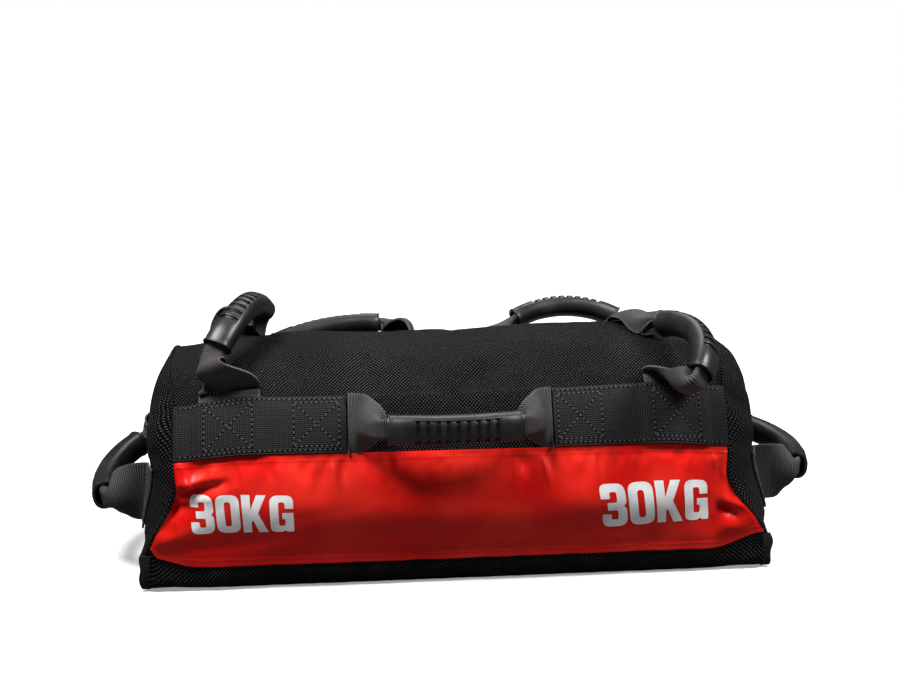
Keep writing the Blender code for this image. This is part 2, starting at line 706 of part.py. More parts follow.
def make_strap(name, pivot, roots, mouths, bow, pulls, webbing):
    """The webbing loop: flat at its two roots, folded where it runs through the grip."""
    legs = []
    for end, root, pull in zip((-1.0, 1.0), roots, pulls):
        place, along, away = grip_station(mouths, bow, end * CORE_REACH_SHARE)
        legs.append(leg_rings(leg_stations(root, (place, along * end, away), pull))[:-1])
    core = [oval_ring(*grip_station(mouths, bow, share), FOLD_HALF_WIDTH, FOLD_HALF_THICKNESS)
            for share in spread(-CORE_REACH_SHARE, CORE_REACH_SHARE, BORE_RINGS)]
    far_leg = [[ring[ROUND_SIDES // 2 - 1 - index] for index in range(ROUND_SIDES)]
               for ring in reversed(legs[1])]
    loft_solid(name, legs[0] + core + far_leg, webbing, pivot)


def make_handle(name, roots, out, mouths, bow, rubber, webbing, pulls=(MOUTH_PULL, MOUTH_PULL)):
    """One handle that swings about the line between its two roots.

    Each root is a place, the direction in which the strap leaves it, and the cloth's normal.
    The mouths are places measured from the middle of the hinge line.
    """
    pivot = hinge_frame(name, roots[0][0], roots[1][0], out)
    into = pivot.matrix_world.inverted()
    turn = into.to_3x3()
    local_roots = [(into @ place, turn @ direction, turn @ normal)
                   for place, direction, normal in roots]
    local_mouths = [turn @ Vector(mouth) for mouth in mouths]
    local_bow = turn @ Vector(bow)
    make_grip(name + "_grip", pivot, local_mouths, local_bow, rubber)
    make_strap(name + "_strap", pivot, local_roots, local_mouths, local_bow, pulls, webbing)


def make_long_handle(name, x, half_chord, arc, out, lie, span, rubber, webbing):
    """A handle whose grip runs along the bag; lie holds its reach, dip and shift."""
    reach, dip, shift = lie
    roots = []
    for side in (-1.0, 1.0):
        place = x + side * half_chord
        roots.append((skin_at(place, arc, LOOP_SEAT + WEB_THICKNESS / 2),
                      Vector((-side, 0.0, 0.0)), skin_normal(share_at(place, arc), arc)))
    mouths = [Vector((side * span / 2 + shift, 0.0, 0.0)) + out * (reach + side * dip / 2)
              for side in (-1.0, 1.0)]
    make_handle(name, roots, out, mouths, out, rubber, webbing)


def make_top_handle(name, x, mouth_shares, bow_shares, pulls, rubber, webbing):
    """A handle whose grip runs across the top of the bag."""
    mouths = [Vector(shares) * GRIP_LENGTH for shares in mouth_shares]
    bow = Vector(bow_shares)
    roots = []
    for arc, way in ((TAB_HIGH + WEB_THICKNESS / 2, -1.0), (REAR_ROOT - WEB_THICKNESS / 2, 1.0)):
        x_share = share_at(x, arc)
        roots.append((skin_at(x, arc, LOOP_STANDOFF), skin_normal(x_share, arc),
                      skin_tangent(x_share, arc) * way))
    make_handle(name, roots, Vector((0.0, 0.0, 1.0)), mouths, bow, rubber, webbing, pulls)


def end_directions(side, depth, height):
    """The outward and the rearward direction of an end panel at a depth and height."""
    rearward = (end_surface(side, depth + NORMAL_STEP, height)
                - end_surface(side, depth - NORMAL_STEP, height)).normalized()
    upward = (end_surface(side, depth, height + NORMAL_STEP)
              - end_surface(side, depth, height - NORMAL_STEP)).normalized()
    return (rearward.cross(upward) * side).normalized(), rearward


def make_side_handle(name, side, front_lie, rear_lie, rubber, webbing):
    """A handle on an end panel; each lie holds how far a mouth reaches out and droops."""
    roots = []
    for way, height in ((-1.0, SIDE_FRONT_HEIGHT), (1.0, SIDE_REAR_HEIGHT)):
        depth = way * (SIDE_ROOT_DEPTH - WEB_THICKNESS / 2)
        outward, rearward = end_directions(side, depth, height)
        roots.append((end_surface(side, depth, height, SIDE_STANDOFF), outward, rearward * way))
    line = (roots[1][0] - roots[0][0]).normalized()
    mouths = []
    bow = Vector()
    for way, (reach, droop) in ((-1.0, front_lie), (1.0, rear_lie)):
        lean = Vector((side * math.cos(droop), 0.0, -math.sin(droop)))
        mouths.append(line * way * SIDE_SPAN / 2 + lean * reach)
        bow += lean
    make_handle(name, roots, bow, mouths, bow, rubber, webbing)


def tilted(angle, way):
    """A direction in the section plane, an angle above the horizontal; way is -1 to the front."""
    return Vector((0.0, way * math.cos(angle), math.sin(angle)))


def make_handles(rubber, webbing):
    """All seven handles, each as it lies when the bag stands at rest."""
    make_long_handle("front_handle", FRONT_X, FRONT_HALF_CHORD, BAND_MIDDLE,
                     tilted(0.0, -1.0), (FRONT_REACH, FRONT_DIP, 0.0),
                     FRONT_SPAN, rubber, webbing)
    make_long_handle("rear_left_handle", REAR_LEFT_X, REAR_HALF_CHORD, REAR_BAND_MIDDLE,
                     tilted(REAR_LEFT_TILT, 1.0),
                     (REAR_LEFT_REACH, REAR_LEFT_DIP, REAR_LEFT_SHIFT),
                     REAR_SPAN, rubber, webbing)
    make_long_handle("rear_right_handle", REAR_RIGHT_X, REAR_HALF_CHORD, REAR_BAND_MIDDLE,
                     tilted(REAR_RIGHT_TILT, 1.0),
                     (REAR_RIGHT_REACH, 0.0, REAR_RIGHT_SHIFT),
                     REAR_SPAN, rubber, webbing)
    make_top_handle("top_left_handle", -TOP_HANDLE_X, TOP_LEFT_MOUTH_SHARES,
                    TOP_LEFT_BOW_SHARES, (MOUTH_PULL, MOUTH_PULL), rubber, webbing)
    make_top_handle("top_right_handle", TOP_HANDLE_X, TOP_RIGHT_MOUTH_SHARES,
                    TOP_RIGHT_BOW_SHARES, (TOP_RIGHT_FRONT_PULL, MOUTH_PULL), rubber, webbing)
    make_side_handle("side_left_handle", -1.0, (SIDE_LEFT_FRONT_REACH, SIDE_LEFT_FRONT_DROOP),
                     (SIDE_LEFT_REAR_REACH, SIDE_LEFT_REAR_DROOP), rubber, webbing)
    make_side_handle("side_right_handle", 1.0, (SIDE_RIGHT_FRONT_REACH, SIDE_RIGHT_FRONT_DROOP),
                     (SIDE_RIGHT_REAR_REACH, SIDE_RIGHT_REAR_DROOP), rubber, webbing)


# Zip

def make_zip(tape_cloth, teeth, metal):
    """Tapes, closed chain and end stops in the slot of the rear panel."""
    chain_half = ZIP_CHAIN_WIDTH / 2
    slot_half = ZIP_SLOT_WIDTH / 2 - GAP
    run = ZIP_HALF_LENGTH - ZIP_STOP_LENGTH
    shares = [share_at(x, ZIP_ARC) for x in spread(-run, run, 3)]
    inner = [-CANVAS_THICKNESS] * 3
    wall("zip_tape_upper", shares, (ZIP_ARC - slot_half, ZIP_ARC - chain_half - GAP),
         ZIP_TAPE_THICKNESS, tape_cloth, inner)
    wall("zip_tape_lower", shares, (ZIP_ARC + chain_half + GAP, ZIP_ARC + slot_half),
         ZIP_TAPE_THICKNESS, tape_cloth, inner)
    wall("zip_chain", shares, (ZIP_ARC - chain_half, ZIP_ARC + chain_half),
         ZIP_CHAIN_THICKNESS, teeth, inner)
    for name, side in (("zip_stop_left", -1.0), ("zip_stop_right", 1.0)):
        ends = [share_at(side * x, ZIP_ARC) for x in (run + GAP, ZIP_HALF_LENGTH - GAP)]
        wall(name, ends, (ZIP_ARC - chain_half, ZIP_ARC + chain_half),
             ZIP_CHAIN_THICKNESS, metal, inner[:2])


def profile_solid(name, profile, half_span, swap, material, parent):
    """Extrude a closed profile both ways from its middle; swap turns the extrusion from X to Y."""
    rings = []
    for side in (-1.0, 1.0):
        if swap:
            rings.append([Vector((a, side * half_span, b)) for a, b in profile])
        else:
            rings.append([Vector((side * half_span, a, b)) for a, b in profile])
    return loft_solid(name, rings, material, parent)


def make_slider(metal):
    """The slider, which straddles the chain, with a bail, and the pull tab that hangs in it."""
    start_x = -(ZIP_HALF_LENGTH - ZIP_STOP_LENGTH - SLIDER_LENGTH / 2)
    place = skin_at(start_x, ZIP_ARC)
    pivot = hinge_frame("zip_slider", place - Vector((SLIDER_LENGTH, 0.0, 0.0)),
                         place + Vector((SLIDER_LENGTH, 0.0, 0.0)), skin_normal(0.0, ZIP_ARC))
    channel = ZIP_CHAIN_WIDTH / 2 + GAP
    foot = ZIP_TAPE_THICKNESS - CANVAS_THICKNESS + GAP
    ceiling = ZIP_CHAIN_THICKNESS - CANVAS_THICKNESS + GAP
    roof = ceiling + SLIDER_WALL
    half = SLIDER_HALF_WIDTH
    body = profile_solid("zip_slider", [(-half, foot), (-half, roof), (half, roof), (half, foot),
                                        (channel, foot), (channel, ceiling),
                                        (-channel, ceiling), (-channel, foot)],
                         SLIDER_LENGTH / 2, False, metal, pivot)
    bail_half = BAIL_LENGTH / 2
    tunnel_half = bail_half - BAIL_WALL
    seat = roof - SLIDER_WALL / 2
    tunnel_top = roof + BAIL_TUNNEL_HEIGHT
    bail_top = tunnel_top + BAIL_WALL
    bail = profile_solid("zip_bail", [(-bail_half, seat), (-bail_half, bail_top),
                                      (bail_half, bail_top), (bail_half, seat),
                                      (tunnel_half, seat), (tunnel_half, tunnel_top),
                                      (-tunnel_half, tunnel_top), (-tunnel_half, seat)],
                         BAIL_WIDTH / 2, True, metal, pivot)
    bail.hide_render = True
    bail.display_type = "WIRE"
    union = body.modifiers.new("bail", "BOOLEAN")
    union.operation = "UNION"
    union.object = bail
    rise = roof + BAIL_TUNNEL_HEIGHT / 2
    alongs = (-PULL_BAR / 2, PULL_BAR / 2, PULL_ARM, PULL_LENGTH)
    acrosses = (-PULL_WIDTH / 2, PULL_ARM_WIDTH - PULL_WIDTH / 2,
                PULL_WIDTH / 2 - PULL_ARM_WIDTH, PULL_WIDTH / 2)
    outer = [[Vector((x, y, PULL_BAR / 2)) for y in acrosses] for x in alongs]
    inner = [[Vector((x, y, -PULL_BAR / 2)) for y in acrosses] for x in alongs]
    tab = sheet_solid("zip_pull_tab", outer, inner, metal, pivot,
                      is_open=lambda row, column: row == 1 and column == 1)
    tab.location = (0.0, 0.0, rise)


# Corner bindings

def make_bindings(binding_cloth):
    """The bound fins that stand out where the end seams meet the base."""
    fin_share = 1.0 + BINDING_FIN / LOWER_HALF_LENGTH
    front_rows = BASE_ROWS[-3:] + FRONT_ROWS[1:2]
    rear_rows = REAR_ROWS[-2:] + [PERIMETER + row for row in BASE_ROWS[1:3]]
    for side_name, side in (("left", -1.0), ("right", 1.0)):
        for face_name, rows in (("front", front_rows), ("rear", rear_rows)):
            columns = [side * share for share in (LAP_SHARE, 1.0, fin_share)]
            wall("corner_binding_" + face_name + "_" + side_name, columns, rows,
                 BINDING_THICKNESS, binding_cloth, [GAP] * len(columns))


# Sand fillers

def section_span(height):
    """The front and rear depth of the bag's section at a height."""
    front = rear = 0.0
    for lower, upper in zip(OUTLINE, OUTLINE[1:]):
        if (lower.y - height) * (upper.y - height) <= 0.0 and lower.y != upper.y:
            depth = lower.x + (upper.x - lower.x) * (height - lower.y) / (upper.y - lower.y)
            front = min(front, depth)
            rear = max(rear, depth)
    return front, rear


def filler_ring(middle_x, height, half_x, front, rear):
    """A rounded rectangle level with the ground."""
    ring = []
    for index in range(FILLER_SIDES):
        angle = math.tau * index / FILLER_SIDES
        wide = squared(math.cos(angle), FILLER_POWER_SHARE)
        deep = squared(math.sin(angle), FILLER_POWER_SHARE)
        ring.append(Vector((middle_x + half_x * wide,
                            (front + rear) / 2 + (rear - front) / 2 * deep, height)))
    return ring


def make_filler(name, middle_x, sand_grain, liner_cloth, hook_tape):
    """A sack of sand that stands in the bag: the sand, its liner and the strip in its neck."""
    floor = CANVAS_THICKNESS + GAP
    sand_floor = floor + LINER_THICKNESS + GAP
    sand_top = BAG_HEIGHT * (1.0 - END_DROP_SHARE) - FILLER_TOP_CLEARANCE
    wall_room = GAP + LINER_THICKNESS

    def rings(grow, base):
        """The sack's rings, each grown sideways by a length, from a base height up."""
        made = []
        for height_share, spread_share in zip(SAND_HEIGHT_SHARES, SAND_SPREAD_SHARES):
            height = sand_floor + (sand_top - sand_floor) * height_share
            front, rear = section_span(height)
            room = FILLER_SLACK
            made.append(filler_ring(middle_x, max(height, base) if height_share else base,
                                    FILLER_HALF_LENGTH * spread_share + grow,
                                    (front + room) * spread_share - grow,
                                    (rear - room) * spread_share + grow))
        return made

    loft_solid(name + "_sand", rings(0.0, sand_floor), sand_grain)
    outer = rings(wall_room, floor)
    inner = rings(GAP, floor + LINER_THICKNESS)
    neck_low = sand_top + LINER_NECK_RISE / 2
    for ring, grow in ((outer, LINER_THICKNESS), (inner, 0.0)):
        for height in (neck_low, neck_low + LINER_NECK_RISE):
            ring.append(filler_ring(middle_x, height, NECK_HALF_LENGTH + grow,
                                    -NECK_HALF_WIDTH - grow, NECK_HALF_WIDTH + grow))
    cup_solid(name + "_liner", outer, inner, liner_cloth)
    strip_half = NECK_HALF_WIDTH - GAP
    top = neck_low + LINER_NECK_RISE + CLOSURE_OVERRUN
    loft_solid(name + "_closure",
               [filler_ring(middle_x, height, NECK_HALF_LENGTH - GAP, -strip_half, strip_half)
                for height in (top - CLOSURE_DEPTH, top)], hook_tape)


def build():
    """Make the whole sandbag."""
    for old in list(bpy.data.objects):
        bpy.data.objects.remove(old)
    canvas = make_material("black_canvas", BLACK_CLOTH, 0.85)
    coated = make_material("red_coated_cloth", (0.62, 0.022, 0.015), 0.38)
    webbing = make_material("grey_webbing", WEBBING_GREY, 0.80)
    binding_cloth = make_material("black_binding", BLACK_CLOTH, 0.75)
    rubber = make_material("black_rubber", (0.016, 0.016, 0.017), 0.42)
    tape_cloth = make_material("zip_tape", BLACK_CLOTH, 0.80)
    teeth = make_material("zip_teeth", (0.020, 0.020, 0.022), 0.35)
    metal = make_material("black_metal", (0.050, 0.050, 0.055), 0.35, 1.0)
    sand_grain = make_material("sand", (0.55, 0.42, 0.26), 0.95)
    liner_cloth = make_material("liner_cloth", (0.030, 0.030, 0.033), 0.60)
    hook_tape = make_material("hook_tape", (0.020, 0.020, 0.020), 0.90)
    make_panels(canvas, coated)
    make_rear_panel(canvas)
    make_end_panel("end_panel_left", -1.0, canvas)
    make_end_panel("end_panel_right", 1.0, canvas)
    make_bands(webbing)
    make_tabs(webbing)
    make_handles(rubber, webbing)
    make_zip(tape_cloth, teeth, metal)
    make_slider(metal)
    make_bindings(binding_cloth)
    pitch = 2.0 * (FILLER_HALF_LENGTH + GAP + LINER_THICKNESS) + GAP
    for index in range(FILLER_COUNT):
        make_filler("filler_" + str(index + 1), (index - (FILLER_COUNT - 1) / 2) * pitch,
                    sand_grain, liner_cloth, hook_tape)


build()
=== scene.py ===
# %% [markdown]
# # A sandbag trainer
# A filled bag of black canvas with a red coated front panel, webbing bands and seven webbing
# handles with rubber grips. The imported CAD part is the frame: it fixes where every piece is
# and what moves. Each cell below dresses one part of it.

# %% Load the frame
import math

import bpy
import numpy as np
from mathutils import Matrix, Vector


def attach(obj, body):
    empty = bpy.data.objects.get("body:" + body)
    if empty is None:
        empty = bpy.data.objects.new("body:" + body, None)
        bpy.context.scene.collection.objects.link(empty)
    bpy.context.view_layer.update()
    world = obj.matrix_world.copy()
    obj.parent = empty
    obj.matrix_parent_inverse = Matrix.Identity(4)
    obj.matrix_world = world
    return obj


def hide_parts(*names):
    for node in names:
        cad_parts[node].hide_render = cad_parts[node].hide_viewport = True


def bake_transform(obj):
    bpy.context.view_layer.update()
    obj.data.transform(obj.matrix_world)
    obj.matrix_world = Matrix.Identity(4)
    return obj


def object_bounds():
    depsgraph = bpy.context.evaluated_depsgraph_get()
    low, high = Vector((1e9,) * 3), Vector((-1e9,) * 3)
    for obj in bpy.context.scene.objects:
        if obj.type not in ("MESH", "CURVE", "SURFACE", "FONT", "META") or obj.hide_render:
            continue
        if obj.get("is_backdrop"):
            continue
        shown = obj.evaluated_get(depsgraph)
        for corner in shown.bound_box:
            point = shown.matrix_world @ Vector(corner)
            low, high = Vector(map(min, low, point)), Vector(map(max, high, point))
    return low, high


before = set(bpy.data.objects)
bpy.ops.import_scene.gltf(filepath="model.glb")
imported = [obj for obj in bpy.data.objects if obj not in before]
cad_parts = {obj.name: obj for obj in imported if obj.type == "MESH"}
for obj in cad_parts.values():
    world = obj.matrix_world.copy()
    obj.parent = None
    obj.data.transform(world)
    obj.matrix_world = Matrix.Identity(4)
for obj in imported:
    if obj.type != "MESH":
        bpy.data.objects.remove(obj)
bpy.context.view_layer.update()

# %% [markdown]
# ## The bag's shape
# Every cloth piece lies on the same filled bag, so its shape is written down once. The bag is a
# closed cross-section that changes along its length. A point of its face has two numbers: its
# share of the length, from -1 at the left end to 1 at the right, and its arc, the distance
# round the bag from the middle of the base, forward and up the front. Numpy works out
# thousands of points in one call, which keeps the fine cloth fast to build.

# %% Sizes of the filled bag
HALF_DEPTH = 0.140
BAG_HEIGHT = 0.2225
BAND_HALF_LENGTH = 0.262
LOWER_HALF_LENGTH = 0.297
CREST_HALF_LENGTH = 0.271
BASE_SHIFT = 0.007
FRONT_SEAM = 0.153
REAR_SEAM_RISE = 0.150
FRONT_PANEL_WIDTH = 0.106
REAR_PANEL_WIDTH = 0.112
GAP = 0.0003
CANVAS_THICKNESS = 0.0016
COATED_THICKNESS = 0.0014
WEB_WIDTH = 0.057
WEB_THICKNESS = 0.0020
ROUND_STEP = 0.003
SIDES = (("left", -1), ("right", 1))
# The cross-section as shares of half the depth and of the height, from the base forward
SECTION = ((0.0, 0.0), (-0.42, 0.0), (-0.82, 0.0), (-0.930, 0.020), (-0.968, 0.110),
           (-0.985, 0.240), (-1.0, 0.400), (-0.975, 0.575), (-0.845, 0.795), (-0.600, 0.925),
           (-0.280, 0.985), (0.07, 1.0), (0.39, 0.968), (0.68, 0.865), (0.865, 0.690),
           (0.945, 0.500), (0.950, 0.290), (0.890, 0.100), (0.80, 0.016), (0.66, 0.0),
           (0.34, 0.0))


def smooth(low, high, value):
    """Go smoothly from 0 at low to 1 at high."""
    share = np.clip((value - low) / (high - low), 0.0, 1.0)
    return share * share * (3.0 - 2.0 * share)


def section_outline():
    """Round the section's points into one closed run of short steps."""
    corners = np.array(SECTION) * (HALF_DEPTH, BAG_HEIGHT)
    outline = []
    for index in range(len(corners)):
        before, start, stop, after = (corners[(index + step) % len(corners)]
                                      for step in (-1, 0, 1, 2))
        for share in np.arange(12) / 12:
            outline.append(0.5 * (2 * start + (stop - before) * share
                                  + (2 * before - 5 * start + 4 * stop - after) * share ** 2
                                  + (3 * start - before - 3 * stop + after) * share ** 3))
    outline = np.array(outline + outline[:1])
    outline[:, 1] = np.maximum(outline[:, 1], 0.0)
    return outline


OUTLINE = section_outline()
ARCS = np.concatenate([[0.0], np.cumsum(np.linalg.norm(np.diff(OUTLINE, axis=0), axis=1))])
PERIMETER = float(ARCS[-1])
BAND_LOW = FRONT_SEAM + FRONT_PANEL_WIDTH
BAND_MIDDLE = BAND_LOW + WEB_WIDTH / 2
BAND_HIGH = BAND_LOW + WEB_WIDTH
REAR_SEAM = PERIMETER - REAR_SEAM_RISE
REAR_BAND_LOW = REAR_SEAM - REAR_PANEL_WIDTH
REAR_BAND_MIDDLE = REAR_BAND_LOW - WEB_WIDTH / 2
REAR_BAND_HIGH = REAR_BAND_LOW - WEB_WIDTH
ZIP_ARC = REAR_SEAM - 0.060
TAB_HIGH = BAND_HIGH + 0.010
REAR_ROOT = TAB_HIGH + 0.156
print("round the bag:", round(PERIMETER, 4), "m")


# %% Points on the bag's face
def half_length(height):
    """Half the bag's length at a height, and how much of the base's flare it has there."""
    flare = smooth(0.108, 0.026, height)
    crest = smooth(0.178, BAG_HEIGHT, height)
    half = (BAND_HALF_LENGTH + flare * (LOWER_HALF_LENGTH - BAND_HALF_LENGTH)
            + crest * (CREST_HALF_LENGTH - BAND_HALF_LENGTH))
    return half, flare


def skin(share, arc):
    """The smooth face of the filled bag, as rows of x, y and z."""
    share, arc = np.broadcast_arrays(np.asarray(share, float), np.asarray(arc, float))
    arc = np.mod(arc, PERIMETER)
    depth = np.interp(arc, ARCS, OUTLINE[:, 0])
    height = np.interp(arc, ARCS, OUTLINE[:, 1])
    half, flare = half_length(height)
    end = smooth(0.74, 1.0, np.abs(share))
    crown = smooth(0.115, BAG_HEIGHT, height)
    lift = crown * (0.006 * share - 0.005 * (1.0 - np.minimum(1.0, share * share)) ** 2)
    return np.stack([share * half + BASE_SHIFT * flare, depth * (1.0 - 0.05 * end),
                     height * (1.0 - 0.045 * end) + lift], -1)


def skin_round(share, arc):
    """The way round the bag at a place, from just before it to just after it."""
    return skin(share, arc + ROUND_STEP) - skin(share, arc - ROUND_STEP)


def skin_out(share, arc):
    """The direction out of the bag's face, square to its length."""
    around = skin_round(share, arc)
    out = np.stack([np.zeros(around.shape[:-1]), -around[..., 2], around[..., 1]], -1)
    return out / np.linalg.norm(out, axis=-1, keepdims=True)


def share_at(x, arc):
    """The share of the length at a place x along the bag."""
    half, flare = half_length(np.interp(np.mod(arc, PERIMETER), ARCS, OUTLINE[:, 1]))
    return (x - BASE_SHIFT * flare) / half


print("crest of the bag:", np.round(skin(0.0, ARCS[132]), 4))


# %% Points on the end panels
END_MIDDLE = 0.105
END_BULGE = {-1: 0.019, 1: 0.038}
# Each side handle's two sewn ends: front or rear, and the height of its middle
SIDE_HEIGHTS = ((-1.0, 0.080), (1.0, 0.102))


def end_face(side, arc, reach, out=0.0):
    """A point of an end panel; reach runs from 0 at its middle to 1 at its seam."""
    rim = skin(float(side), arc)
    flat_x = CREST_HALF_LENGTH + CANVAS_THICKNESS
    x = (flat_x + (np.abs(rim[..., 0]) - flat_x) * reach ** 3
         + END_BULGE[side] * (1.0 - reach ** 4) + GAP + out)
    return np.stack([side * x, rim[..., 1] * reach,
                     END_MIDDLE + (rim[..., 2] - END_MIDDLE) * reach], -1)


def end_held(depth, height):
    """1 where a side handle's strap is sewn on an end panel."""
    held_here = 0.0
    for way, middle in SIDE_HEIGHTS:
        across = smooth(0.040, 0.031, np.abs(height - middle))
        held_here = np.maximum(held_here, across * smooth(0.056, 0.064, depth * way)
                               * smooth(0.108, 0.098, depth * way))
    return held_here


def end_at(side, depth, height, out=0.0):
    """The point of an end panel at one depth and height."""
    arcs = np.linspace(0.0, PERIMETER, 721)[:-1]
    rim = skin(float(side), arcs)
    rise = rim[:, 2] - END_MIDDLE
    cross = np.abs(rim[:, 1] * (height - END_MIDDLE) - rise * depth)
    cross[rim[:, 1] * depth + rise * (height - END_MIDDLE) < 0.0] = np.inf
    best = int(np.argmin(cross))
    reach = math.hypot(depth, height - END_MIDDLE) / math.hypot(rim[best, 1], rise[best])
    x = end_face(side, arcs[best], reach, CANVAS_THICKNESS + out)[0]
    return Vector((float(x), depth, height))


print("left end's middle:", np.round(end_face(-1, 0.0, 0.0), 4))

# %% [markdown]
# ## Workshop helpers
# These few helpers are what every cell uses. Blender's operators act on whatever is selected,
# so one helper clears the selection and another picks one piece. A grid primitive is cut to
# the size of a piece of cloth, its UV map is set in metres so that the weave stays the same
# size everywhere, and its points are then laid on the bag.

# %% Helpers
made = []


def clear():
    """Leave nothing selected."""
    bpy.ops.object.select_all(action="DESELECT")


def pick(piece):
    """Select one piece alone."""
    clear()
    piece.select_set(True)
    bpy.context.view_layer.objects.active = piece
    return piece


def points_of(piece):
    """The piece's points as an array."""
    points = np.zeros(len(piece.data.vertices) * 3)
    piece.data.vertices.foreach_get("co", points)
    return points.reshape(-1, 3)


def move_points(piece, points):
    """Put the piece's points at new places."""
    piece.data.vertices.foreach_set("co", np.asarray(points, float).ravel())
    piece.data.update()


def apply_modifier(piece, kind, **settings):
    """Add one modifier, set it and apply it."""
    pick(piece)
    modifier = piece.modifiers.new(kind.title(), kind)
    for name, value in settings.items():
        setattr(modifier, name, value)
    bpy.ops.object.modifier_apply(modifier=modifier.name)
    return piece


def finish_piece(piece, material, body, replaced=(), angle=40.0):
    """Shade a piece, give it its material, and say what it rides on and stands for."""
    pick(piece)
    piece.data.materials.clear()
    piece.data.materials.append(material)
    bpy.ops.object.shade_smooth_by_angle(angle=math.radians(angle))
    if body:
        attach(piece, body)
    if replaced:
        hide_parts(*replaced)
    made.append(piece)
    clear()
    return piece


def edit_all(piece, operator, **settings):
    """Run one edit-mode operator on the whole of a piece."""
    pick(piece)
    bpy.ops.object.mode_set(mode="EDIT")
    bpy.ops.mesh.select_all(action="SELECT")
    operator(**settings)
    bpy.ops.object.mode_set(mode="OBJECT")


def face_towards(piece, way):
    """Turn all faces the same way round, and on the whole towards a direction."""
    edit_all(piece, bpy.ops.mesh.normals_make_consistent, inside=False)
    total = sum((face.normal * face.area for face in piece.data.polygons), Vector())
    if total.dot(Vector(way)) < 0.0:
        edit_all(piece, bpy.ops.mesh.flip_normals)


def select_faces(piece, is_chosen):
    """Enter edit mode with the faces whose middle and normal is_chosen takes."""
    pick(piece)
    bpy.ops.object.mode_set(mode="EDIT")
    bpy.ops.mesh.select_mode(type="FACE")
    bpy.ops.mesh.select_all(action="DESELECT")
    bpy.ops.object.mode_set(mode="OBJECT")
    for face in piece.data.polygons:
        face.select = is_chosen(face.center, face.normal)
    bpy.ops.object.mode_set(mode="EDIT")


def cut_across(square, places):
    """In edit mode, cut the whole piece square to a direction at each place along it."""
    for place in places:
        bpy.ops.mesh.select_all(action="SELECT")
        bpy.ops.mesh.bisect(plane_co=[place * way for way in square], plane_no=square)


def set_uv(piece, metres):
    """Set the piece's UV map from a pair of numbers for each point."""
    corners = np.zeros(len(piece.data.loops), np.int32)
    piece.data.loops.foreach_get("vertex_index", corners)
    piece.data.uv_layers[0].data.foreach_set("uv", metres[corners].ravel())


def cloth_grid(name, cells, place, size, thickness=0.0, lengths=None):
    """Cut a grid of cloth, lay it with place(u, v) and give it its thickness.

    Where the columns aren't evenly spaced, lengths holds the distance to each of them.
    """
    clear()
    bpy.ops.mesh.primitive_grid_add(x_subdivisions=cells[0], y_subdivisions=cells[1], size=1.0)
    piece = bpy.context.object
    piece.name = name
    piece.data.name = name
    flat = points_of(piece)[:, :2] + 0.5
    metres = flat * size
    if lengths is not None:
        metres[:, 0] = np.interp(flat[:, 0] * cells[0], np.arange(len(lengths)), lengths)
    set_uv(piece, metres)
    move_points(piece, place(flat[:, 0], flat[:, 1]))
    if thickness:
        apply_modifier(piece, "SOLIDIFY", thickness=thickness, offset=-1.0,
                       use_even_offset=False)
    return piece


print("helpers ready")


# %% Helpers for small forms that repeat
def new_piece(name, points, faces):
    """Make a piece straight from its points and faces."""
    mesh = bpy.data.meshes.new(name)
    mesh.from_pydata(points.tolist(), [], faces)
    piece = bpy.data.objects.new(name, mesh)
    bpy.context.scene.collection.objects.link(piece)
    return piece


def take_form(piece):
    """Keep a small piece's points and faces, and remove the piece."""
    form = points_of(piece), [tuple(face.vertices) for face in piece.data.polygons]
    bpy.data.objects.remove(piece)
    return form


def repeat_form(name, form, spots):
    """One mesh that has a small form at each spot: its place and where x, y and z point."""
    form_points, form_faces = form
    points, faces = [], []
    for place, *ways in spots:
        base = len(points) * len(form_points)
        points.append(place + form_points @ np.array(ways))
        faces += [tuple(base + corner for corner in face) for face in form_faces]
    return new_piece(name, np.concatenate(points), faces)


print("form helpers ready")

# %% [markdown]
# ## Weaves as node groups
# Canvas and webbing differ in thread size, so each weave is one shader group with its thread
# sizes as inputs. The canvas group multiplies two sine waves, which gives rows of raised dots
# that step by half a dot from row to row, as a coarse dobby weave does. The webbing group is
# a run of ribs across the strap with finer threads along it. Both read the UV map in metres.


# %% Node helpers
def new_group(name, vector, floats, outputs):
    """Start a shader node group: one vector input, its float inputs and its float outputs."""
    group = bpy.data.node_groups.new(name, "ShaderNodeTree")
    group.interface.new_socket(vector, in_out="INPUT", socket_type="NodeSocketVector")
    for label, value in floats.items():
        socket = group.interface.new_socket(label, in_out="INPUT", socket_type="NodeSocketFloat")
        socket.default_value = value
    for label in outputs:
        group.interface.new_socket(label, in_out="OUTPUT", socket_type="NodeSocketFloat")
    return group, group.nodes.new("NodeGroupInput"), group.nodes.new("NodeGroupOutput")


def math_node(tree, operation, first, second=None, third=None):
    """Add one Math node; each operand is a number or a socket."""
    node = tree.nodes.new("ShaderNodeMath")
    node.operation = operation
    for index, value in enumerate((first, second, third)):
        if value is None:
            continue
        if isinstance(value, (int, float)):
            node.inputs[index].default_value = value
        else:
            tree.links.new(value, node.inputs[index])
    return node.outputs[0]


def mix_colour(tree, factor, dark, light):
    """Mix two colours by a factor socket."""
    node = tree.nodes.new("ShaderNodeMix")
    node.data_type = "RGBA"
    tree.links.new(factor, node.inputs[0])
    for socket, value in ((node.inputs[6], dark), (node.inputs[7], light)):
        if isinstance(value, tuple):
            socket.default_value = (*value, 1.0)
        else:
            tree.links.new(value, socket)
    return node.outputs[2]


def ramp(tree, value, low, high):
    """Stretch a value so that low becomes 0 and high becomes 1, clamped."""
    node = tree.nodes.new("ShaderNodeMapRange")
    node.interpolation_type = "SMOOTHSTEP"
    tree.links.new(value, node.inputs["Value"])
    node.inputs["From Min"].default_value = low
    node.inputs["From Max"].default_value = high
    return node.outputs["Result"]


